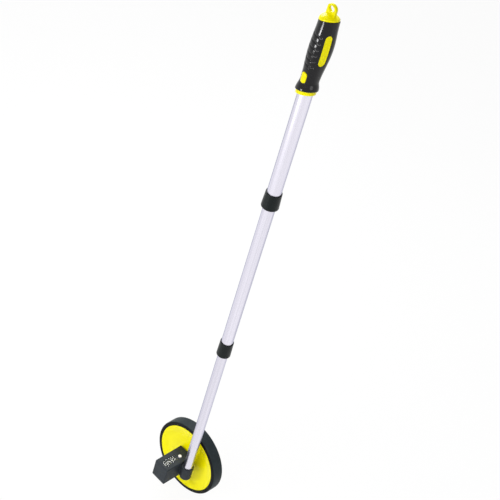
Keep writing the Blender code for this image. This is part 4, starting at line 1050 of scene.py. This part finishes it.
class BuildAxle(PieceOperator, bpy.types.Operator):
    """Builds the threaded axle with its washer and nut"""

    bl_idname = "measuring_wheel.axle"
    bl_label = "Axle, washer and nut"

    def build(self):
        metal = ["bright_steel"]
        sizes = settings().wheel
        root = AXLE_RADIUS - sizes.thread_depth
        end = AXLE_HIGH.y
        profile = [(0, end), (root, end, FIT), (root, NUT_LOW.y), (AXLE_RADIUS, NUT_LOW.y - FIT)]
        profile += [(AXLE_RADIUS, AXLE_HUB_Y), (AXLE_SHOULDER_RADIUS, AXLE_HUB_Y, FIT)]
        profile += [(AXLE_SHOULDER_RADIUS, AXLE_SHOULDER_Y, FIT), (AXLE_BOX_RADIUS, AXLE_SHOULDER_Y)]
        profile += [(AXLE_BOX_RADIUS, AXLE_SEAT_Y, FIT), (AXLE_TIP_RADIUS, AXLE_SEAT_Y)]
        profile += [(AXLE_TIP_RADIUS, AXLE_LOW.y), (0, AXLE_LOW.y)]
        made = joined(spun(profile, SMALL_STEPS), self.thread(root, NUT_LOW.y, end))
        show("threaded_axle", placed(made, HUB_LINE, ALONG_Y), metal, "wheel", "axle")
        washer = [(WASHER_RADIUS, WASHER_HIGH.y, FIT), (WASHER_RADIUS, WASHER_LOW.y, FIT)]
        washer += [(HUB_BORE, WASHER_LOW.y), (HUB_BORE, WASHER_HIGH.y)]
        made = spun(washer, SMALL_STEPS, HUB_LINE, ALONG_Y, closed=True)
        show("plain_washer", made, metal, "wheel", "axle_washer")
        show("hex_nut", placed(self.nut(), HUB_LINE, ALONG_Y), metal, "wheel", "axle_nut")

    def thread(self, root, low, high):
        """A helical ridge that runs out at both ends."""
        sizes = settings().wheel
        pitch = sizes.thread_pitch
        turns = int((high - low) / pitch) - 1
        made = bmesh.new()
        crest = AXLE_RADIUS
        flank = root - FIT
        ridge = [(flank, 0), (crest, pitch * CREST_START), (crest, pitch * CREST_END), (flank, pitch)]
        geometry = wire(made, ridge, False)
        placed(made, (0, 0, low))
        bmesh.ops.spin(
            made, geom=geometry, cent=(0, 0, 0), axis=(0, 0, 1), dvec=(0, 0, pitch / THREAD_STEPS),
            angle=FULL_TURN * turns, steps=THREAD_STEPS * turns,
        )
        for vert in made.verts:
            radius = math.hypot(vert.co.x, vert.co.y)
            inside = min((vert.co.z - low), (high - vert.co.z)) / pitch
            limit = root - FIT + (crest - root + FIT) * clamped(inside)
            if radius > limit:
                widened(vert, limit / radius)
        return settled(made)

    def nut(self):
        """A hexagonal nut with both faces chamfered."""
        made = bmesh.new()
        bmesh.ops.create_cone(made, cap_ends=True, segments=NUT_SIDES, radius1=NUT_RADIUS, radius2=NUT_RADIUS,
                              depth=NUT_HIGH.y - NUT_LOW.y)
        placed(made, (0, 0, (NUT_HIGH.y + NUT_LOW.y) / 2), Matrix.Rotation(QUARTER_TURN, 4, "Z"))
        flat = NUT_RADIUS * math.cos(HALF_TURN / NUT_SIDES)
        drop = (NUT_RADIUS - flat + FIT) * math.tan(NUT_CHAMFER)
        far = NUT_RADIUS + FIT
        skin = [(0, NUT_HIGH.y + SINK), (flat - SINK, NUT_HIGH.y + SINK), (far, NUT_HIGH.y - drop)]
        skin += [(far, NUT_LOW.y + drop), (flat - SINK, NUT_LOW.y - SINK), (0, NUT_LOW.y - SINK)]
        bore = rod_form(HUB_BORE, NUT_LOW.y - OVERRUN, NUT_HIGH.y + OVERRUN)
        return modified(made, kept_in(spun(skin, SMALL_STEPS)), cut_by(bore), broken_edges(FIT / 3))


class BuildCasing(PieceOperator, bpy.types.Operator):
    """Builds the counter's casing with the pole's socket, and its cover"""

    bl_idname = "measuring_wheel.casing"
    bl_label = "Counter casing"

    def build(self):
        plastic = ["casing_plastic"]
        show("counter_casing", self.casing(), plastic, "lower_section", "counter_body")
        show("casing_cover", self.cover(), plastic, "lower_section", "counter_cover")

    def screw_places(self):
        boxes = [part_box(f"cover_screw_{i}") for i in range(1, 5)]
        return [((low.x + high.x) / 2, 0, (low.z + high.z) / 2) for low, high in boxes]

    def casing(self):
        sizes = settings().counter
        high = Vector((BODY_LOW.x + CASING_WIDTH, BODY_HIGH.y, BODY_HIGH.z))
        at_cover = BODY_HIGH.y - WELD
        made = box_form(BODY_LOW, high, sizes.casing_edge, lambda e: all(v.co.y > at_cover for v in e.verts))
        cup = [(0, CUP_RIM), (CUP_RADIUS, CUP_RIM, 2 * FIT)]
        cup += [(CUP_RADIUS, CUP_BOTTOM, CUP_EDGE), (0, CUP_BOTTOM)]
        wall = Vector((CASING_WALL, CASING_WALL, CASING_WALL))
        web = box_form((high.x - CASING_WALL, -WEB_WIDTH / 2, CUP_BOTTOM + CUP_EDGE),
                       (0, WEB_WIDTH / 2, CUP_RIM - CUP_EDGE), FIT * 3)
        far = (high.x - CASING_WALL, high.y + OVERRUN, high.z - CASING_WALL)
        hollow = box_form(BODY_LOW + wall, far, FIT)
        steps = [grown_by(spun(cup, TUBE_STEPS)), grown_by(web), cut_by(hollow)]
        half = POST_SIZE / 2
        for x, _, z in self.screw_places():
            post = box_form((x - half, high.y - POST_LENGTH, z - half), (x + half, high.y - FIT, z + half))
            deep = high.y - POST_LENGTH + CASING_WALL
            bore = rod_form(SCREW_HOLE, deep, high.y + OVERRUN, (x, 0, z), ALONG_Y)
            steps += [grown_by(post), cut_by(bore)]
        sink = CUP_BOTTOM + FOOT_SINK_DEPTH
        floor = TUBE_FOOT - FIT
        above, under = CUP_RIM + OVERRUN, CUP_BOTTOM - OVERRUN
        socket = [(0, above), (SOCKET_BORE, above), (SOCKET_BORE, floor), (FOOT_HOLE, floor)]
        socket += [(FOOT_HOLE, sink), (FOOT_SINK, sink), (FOOT_SINK, under), (0, under)]
        steps += [cut_by(spun(socket, TUBE_STEPS))]
        top = BODY_HIGH.z
        for grown, low in ((0, top - 2 * CASING_WALL), (2 * WINDOW_STEP, top - WINDOW_STEP)):
            outline = rectangle(WINDOW_WIDTH + grown, WINDOW_LENGTH + grown, sizes.window_corner)
            steps += [cut_by(placed(prism(outline, low, top + OVERRUN), LENS_LINE))]
        hole = rod_form(BUTTON_RADIUS + FIT, top - 2 * CASING_WALL, top + OVERRUN, BUTTON_LINE)
        return modified(made, *steps, cut_by(hole), broken_edges(sizes.break_edge))

    def cover(self):
        sizes = settings().counter
        low, high = COVER_LOW.copy(), COVER_HIGH.copy()
        low.y = high.y - (COVER_HIGH.y - BODY_HIGH.y - FIT)
        made = box_form(low, high, sizes.casing_edge, lambda e: abs(e.verts[0].co.y - e.verts[1].co.y) < WELD)
        middle = (low.y + high.y) / 2
        steps = [grown_by(rod_form(BOSS_RADIUS, low.y - BOSS_LENGTH, middle, HUB_LINE, ALONG_Y))]
        inside = low.y - BOSS_LENGTH - OVERRUN
        steps += [cut_by(rod_form(BUSH_HOLE, inside, high.y + OVERRUN, HUB_LINE, ALONG_Y))]
        for place in self.screw_places():
            floor = high.y - SCREW_SINK_DEPTH
            above, under = high.y + OVERRUN, low.y - OVERRUN
            hole = [(0, above), (SCREW_SINK, above), (SCREW_SINK, floor), (SCREW_HOLE, floor)]
            hole += [(SCREW_HOLE, under), (0, under)]
            steps += [cut_by(spun(hole, SMALL_STEPS, place, ALONG_Y))]
        return modified(made, *steps, broken_edges(sizes.break_edge))


class BuildWindow(PieceOperator, bpy.types.Operator):
    """Builds the clear window over the number drums"""

    bl_idname = "measuring_wheel.window"
    bl_label = "Window"

    def build(self):
        sizes = settings().counter
        width, depth = LENS_HIGH.x - LENS_LOW.x, LENS_HIGH.y - LENS_LOW.y
        made = prism(rectangle(width, depth, sizes.window_corner - FIT), LENS_LOW.z, LENS_HIGH.z)
        made = modified(placed(made, LENS_LINE), broken_edges(FIT / 3))
        show("clear_window", made, ["lens_plastic"], "lower_section", "window_lens")


class BuildButton(PieceOperator, bpy.types.Operator):
    """Builds the reset button with its dished top"""

    bl_idname = "measuring_wheel.button"
    bl_label = "Reset button"

    def build(self):
        top = BUTTON_HIGH.z
        dish = settings().counter.button_dish
        profile = [(0, top - dish), (BUTTON_RADIUS * BUTTON_DISH_FLOOR, top - dish, FIT * 3)]
        profile += [(BUTTON_RADIUS * BUTTON_DISH_RIM, top, FIT * 2), (BUTTON_RADIUS, top, FIT * 2)]
        profile += [(BUTTON_RADIUS, BUTTON_FLANGE_TOP), (BUTTON_FLANGE_RADIUS, BUTTON_FLANGE_TOP, FIT)]
        profile += [(BUTTON_FLANGE_RADIUS, BUTTON_FLANGE_BOTTOM, FIT)]
        profile += [(BUTTON_STEM_RADIUS, BUTTON_FLANGE_BOTTOM), (BUTTON_STEM_RADIUS, BUTTON_LOW.z, FIT)]
        profile += [(0, BUTTON_LOW.z)]
        made = spun(profile, SMALL_STEPS, BUTTON_LINE)
        show("white_button", made, ["white_plastic"], "button", "reset_button", slot="works_plastic")


class BuildNumbers(PieceOperator, bpy.types.Operator):
    """Builds the numbered bands round the five drums"""

    bl_idname = "measuring_wheel.numbers"
    bl_label = "Number bands"

    def build(self):
        digits = [self.flat_digit(str(i)) for i in range(10)]
        for index in range(1, DRUM_COUNT + 1):
            low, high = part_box(f"drum_{index}")
            start, end = low.y, high.y - DRUM_RING_WIDTH
            band_radius = DRUM_RADIUS + 2 * SINK
            inner = DRUM_RADIUS - FIT * 2
            profile = [(band_radius, end, FIT), (band_radius, start, FIT)]
            profile += [(inner, start - SINK), (inner, end + SINK)]
            made = spun(profile, TUBE_STEPS, (DRUM_AT.x, 0, DRUM_AT.z), ALONG_Y, closed=True)
            for value, digit in enumerate(digits):
                first = len(made.faces)
                made.from_mesh(digit)
                made.faces.ensure_lookup_table()
                fresh = made.faces[first:]
                verts = {vert for face in fresh for vert in face.verts}
                facing = QUARTER_TURN - FULL_TURN * value / len(digits)
                for vert in verts:
                    angle = facing + vert.co.y / band_radius
                    radius = band_radius + vert.co.z
                    vert.co = (DRUM_AT.x + radius * math.cos(angle), (start + end) / 2 + vert.co.x,
                               DRUM_AT.z + radius * math.sin(angle))
                for face in fresh:
                    face.material_index = 1
            looks = ["drum_plastic", "digit_paint"]
            show(f"drum_{index}_numbers", made, looks, f"counting_drum_{index}")
        for digit in digits:
            bpy.data.meshes.remove(digit)

    def flat_digit(self, text):
        """A thin digit centred on the origin, cut across so that it can bend round a drum."""
        curve = bpy.data.curves.new("digit", "FONT")
        curve.body = text
        holder = linked("digit", curve)
        mesh = evaluated_mesh(holder)
        bpy.data.objects.remove(holder)
        made = bmesh.new()
        made.from_mesh(mesh)
        xs = [vert.co.x for vert in made.verts]
        ys = [vert.co.y for vert in made.verts]
        height = settings().counter.digit_height
        scale = height / (max(ys) - min(ys))
        placed(made, (-(max(xs) + min(xs)) / 2, -(max(ys) + min(ys)) / 2, 0))
        bmesh.ops.scale(made, vec=(scale, scale, scale), verts=made.verts)
        bmesh.ops.remove_doubles(made, verts=made.verts, dist=WELD)
        for i in range(1, DIGIT_SLICES):
            cut_y = height * (i / DIGIT_SLICES - 0.5)
            geometry = list(made.verts) + list(made.edges) + list(made.faces)
            bmesh.ops.bisect_plane(made, geom=geometry, plane_co=(0, cut_y, 0), plane_no=(0, 1, 0))
        bmesh.ops.solidify(made, geom=list(made.faces), thickness=-2 * SINK)
        bmesh.ops.recalc_face_normals(made, faces=made.faces)
        made.to_mesh(mesh)
        made.free()
        return mesh


class DressWorks(PieceOperator, bpy.types.Operator):
    """Gives every part that still shows its own shape a procedural finish"""

    bl_idname = "measuring_wheel.works"
    bl_label = "Works and hidden parts"

    def build(self):
        white = ["middle_guide_bush", "lower_guide_bush", "upper_collet", "lower_collet", "tube_foot_plug"]
        steel = ["tube_screw", "drum_shaft", "pinion_shaft", "left_frame_plate", "right_frame_plate"]
        steel += ["reset_spring"] + [f"cover_screw_{i}" for i in range(1, 5)]
        brass = ["cover_bush", "plate_bush", "drive_gear"] + [f"pinion_{i}" for i in range(1, DRUM_COUNT)]
        drums = [f"drum_{i}" for i in range(1, DRUM_COUNT + 1)]
        for names, look, slot in (
            (white, "white_plastic", "works_plastic"), (steel, "bright_steel", "bright_steel"),
            (brass, "gear_brass", "gear_brass"), (drums, "drum_plastic", "drum_plastic"),
        ):
            for name in names:
                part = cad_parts[name]
                part.data.materials.clear()
                part.data.materials.append(finish(look))


# The camera, fitted to the photo, and the lamps: name, power, place, size and target
CAMERA_AT = Vector((1.02012, -1.50446, 1.06986))
CAMERA_FORWARD = Vector((-0.428223, 0.624245, -0.653409))
CAMERA_UP = Vector((-0.597724, 0.346634, 0.722891))
SENSOR_WIDTH = 36.0
PICTURE_SIZE = 500
CLIP_START = 0.01
CLIP_END = 50
FOCAL_PIXELS = 1408.38
FLOOR_RADIUS = 7.0
WALL_HEIGHT = 5.0
LAMPS = (
    ("key_lamp", "key_power", (0.2, -2.2, 1.1), (1.6, 1.6), (0, 0, -0.7)),
    ("fill_lamp", "fill_power", (2.4, -0.6, 0.4), (1.4, 1.4), (0, 0, -0.7)),
    ("top_lamp", "top_power", (-0.9, 0.6, 0.3), (0.9, 0.9), (0, 0, -1.1)),
    ("strip_lamp", "strip_power", (-0.3, -1.16, -0.62), (0.3, 0.16), (0, 0, -0.62)),
)


class SetStage(PieceOperator, bpy.types.Operator):
    """Sets the floor, the backdrop, the soft lamps and the camera"""

    bl_idname = "measuring_wheel.stage"
    bl_label = "Stage"

    def build(self):
        self.studio()
        self.world()
        for name, power_name, place, size, target in LAMPS:
            light = bpy.data.lights.new(name, "AREA")
            light.shape = "DISK" if size[0] == size[1] else "RECTANGLE"
            light.size, light.size_y = size
            light.energy = getattr(settings().stage, power_name)
            lamp = linked(name, light)
            lamp.location = place
            lamp.visible_camera = False
            lamp.rotation_euler = (Vector(target) - Vector(place)).to_track_quat("-Z", "Y").to_euler()
        self.camera()
        bpy.context.scene.view_settings.view_transform = "Standard"

    def studio(self):
        """A pale floor that curves up into a backdrop all round."""
        floor_z = TYRE_LOW.z - SINK
        corners = [(0, floor_z), (FLOOR_RADIUS, floor_z, WALL_HEIGHT / 2)]
        made = spun(corners + [(FLOOR_RADIUS, floor_z + WALL_HEIGHT)], WHEEL_STEPS)
        for face in made.faces:
            outward = face.normal.dot(face.calc_center_median()) > 0 and abs(face.normal.z) < 0.5
            if face.normal.z < 0 or outward:
                face.normal_flip()
        mesh = meshed("studio_floor", made)
        mesh.shade_smooth()
        studio = linked("studio_floor", mesh)
        mesh.materials.append(self.paper())

    def paper(self):
        """Pale paper that shows white to the camera and in reflections, but keeps the shadow."""
        made, tree, shader = new_finish("studio_paper", (0.9, 0.9, 0.9), 0.9, Specular_IOR_Level=0.1)
        fibre = grain(tree, place_on(tree), 0.05, 3.0)
        tinted(tree, shader, fibre, (0.89, 0.89, 0.89), (0.91, 0.91, 0.91))
        rays = node(tree, "ShaderNodeLightPath").outputs
        seen = calculated(tree, "MAXIMUM", rays["Is Camera Ray"], rays["Is Glossy Ray"])
        seen = calculated(tree, "MAXIMUM", seen, rays["Is Transmission Ray"])
        part = calculated(tree, "MULTIPLY", seen, settings().stage.floor_glow)
        glow = node(tree, "ShaderNodeEmission", {"Color": (1, 1, 1, 1), "Strength": 1.0})
        both = node(tree, "ShaderNodeMixShader", {0: part, 1: shader.outputs[0], 2: glow.outputs[0]})
        tree.links.new(both.outputs[0], tree.nodes["Material Output"].inputs["Surface"])
        return made

    def world(self):
        """Even light all round, white where it is seen."""
        world = bpy.data.worlds.new("studio_world")
        world.use_nodes = True
        tree = world.node_tree
        lit = tree.nodes["Background"]
        lit.inputs["Color"].default_value = (1, 1, 1, 1)
        lit.inputs["Strength"].default_value = settings().stage.world_strength
        white = node(tree, "ShaderNodeBackground", {"Color": (1, 1, 1, 1), "Strength": 1.0})
        rays = node(tree, "ShaderNodeLightPath").outputs
        parts = {0: rays["Is Camera Ray"], 1: lit.outputs[0], 2: white.outputs[0]}
        both = node(tree, "ShaderNodeMixShader", parts)
        tree.links.new(both.outputs[0], tree.nodes["World Output"].inputs["Surface"])
        bpy.context.scene.world = world

    def camera(self):
        view = bpy.data.cameras.new("photo_camera")
        view.sensor_width = SENSOR_WIDTH
        view.lens = FOCAL_PIXELS * SENSOR_WIDTH / PICTURE_SIZE
        view.clip_start, view.clip_end = CLIP_START, CLIP_END
        holder = linked("photo_camera", view)
        back = -CAMERA_FORWARD.normalized()
        right = CAMERA_UP.cross(back).normalized()
        up = back.cross(right)
        holder.matrix_world = Matrix.Translation(CAMERA_AT) @ Matrix((right, up, back)).transposed().to_4x4()
        bpy.context.scene.camera = holder


BUILDERS = (
    BuildEndCap, BuildHandleCore, BuildGrip, BuildPole, BuildTyre, BuildWheelDisc, BuildAxle, BuildCasing,
    BuildWindow, BuildButton, BuildNumbers, DressWorks, SetStage,
)


class MeasuringWheelPanel(bpy.types.Panel):
    """Lists the measuring wheel's operators and settings"""

    bl_idname = "VIEW3D_PT_measuring_wheel"
    bl_label = "Measuring wheel"
    bl_space_type = "VIEW_3D"
    bl_region_type = "UI"
    bl_category = "Measuring wheel"

    def draw(self, context):
        layout = self.layout
        for builder in BUILDERS:
            layout.operator(builder.bl_idname)
        for name in ("handle", "pole", "wheel", "counter", "colours", "stage"):
            group = getattr(context.scene.measuring_wheel, name)
            box = layout.box()
            box.label(text=group.bl_rna.name)
            for prop in group.bl_rna.properties:
                if prop.identifier not in {"rna_type", "name"}:
                    box.prop(group, prop.identifier)


CLASSES = (
    HandleSizes, PoleSizes, WheelSizes, CounterSizes, FinishColours, StageSettings, MeasuringWheel,
    *BUILDERS, MeasuringWheelPanel,
)


def register():
    for cls in CLASSES:
        bpy.utils.register_class(cls)
    bpy.types.Scene.measuring_wheel = PointerProperty(type=MeasuringWheel)


def unregister():
    del bpy.types.Scene.measuring_wheel
    for cls in reversed(CLASSES):
        bpy.utils.unregister_class(cls)


def main():
    register()
    for builder in BUILDERS:
        getattr(bpy.ops.measuring_wheel, builder.bl_idname.split(".")[1])()


if __name__ == "__main__":
    main()
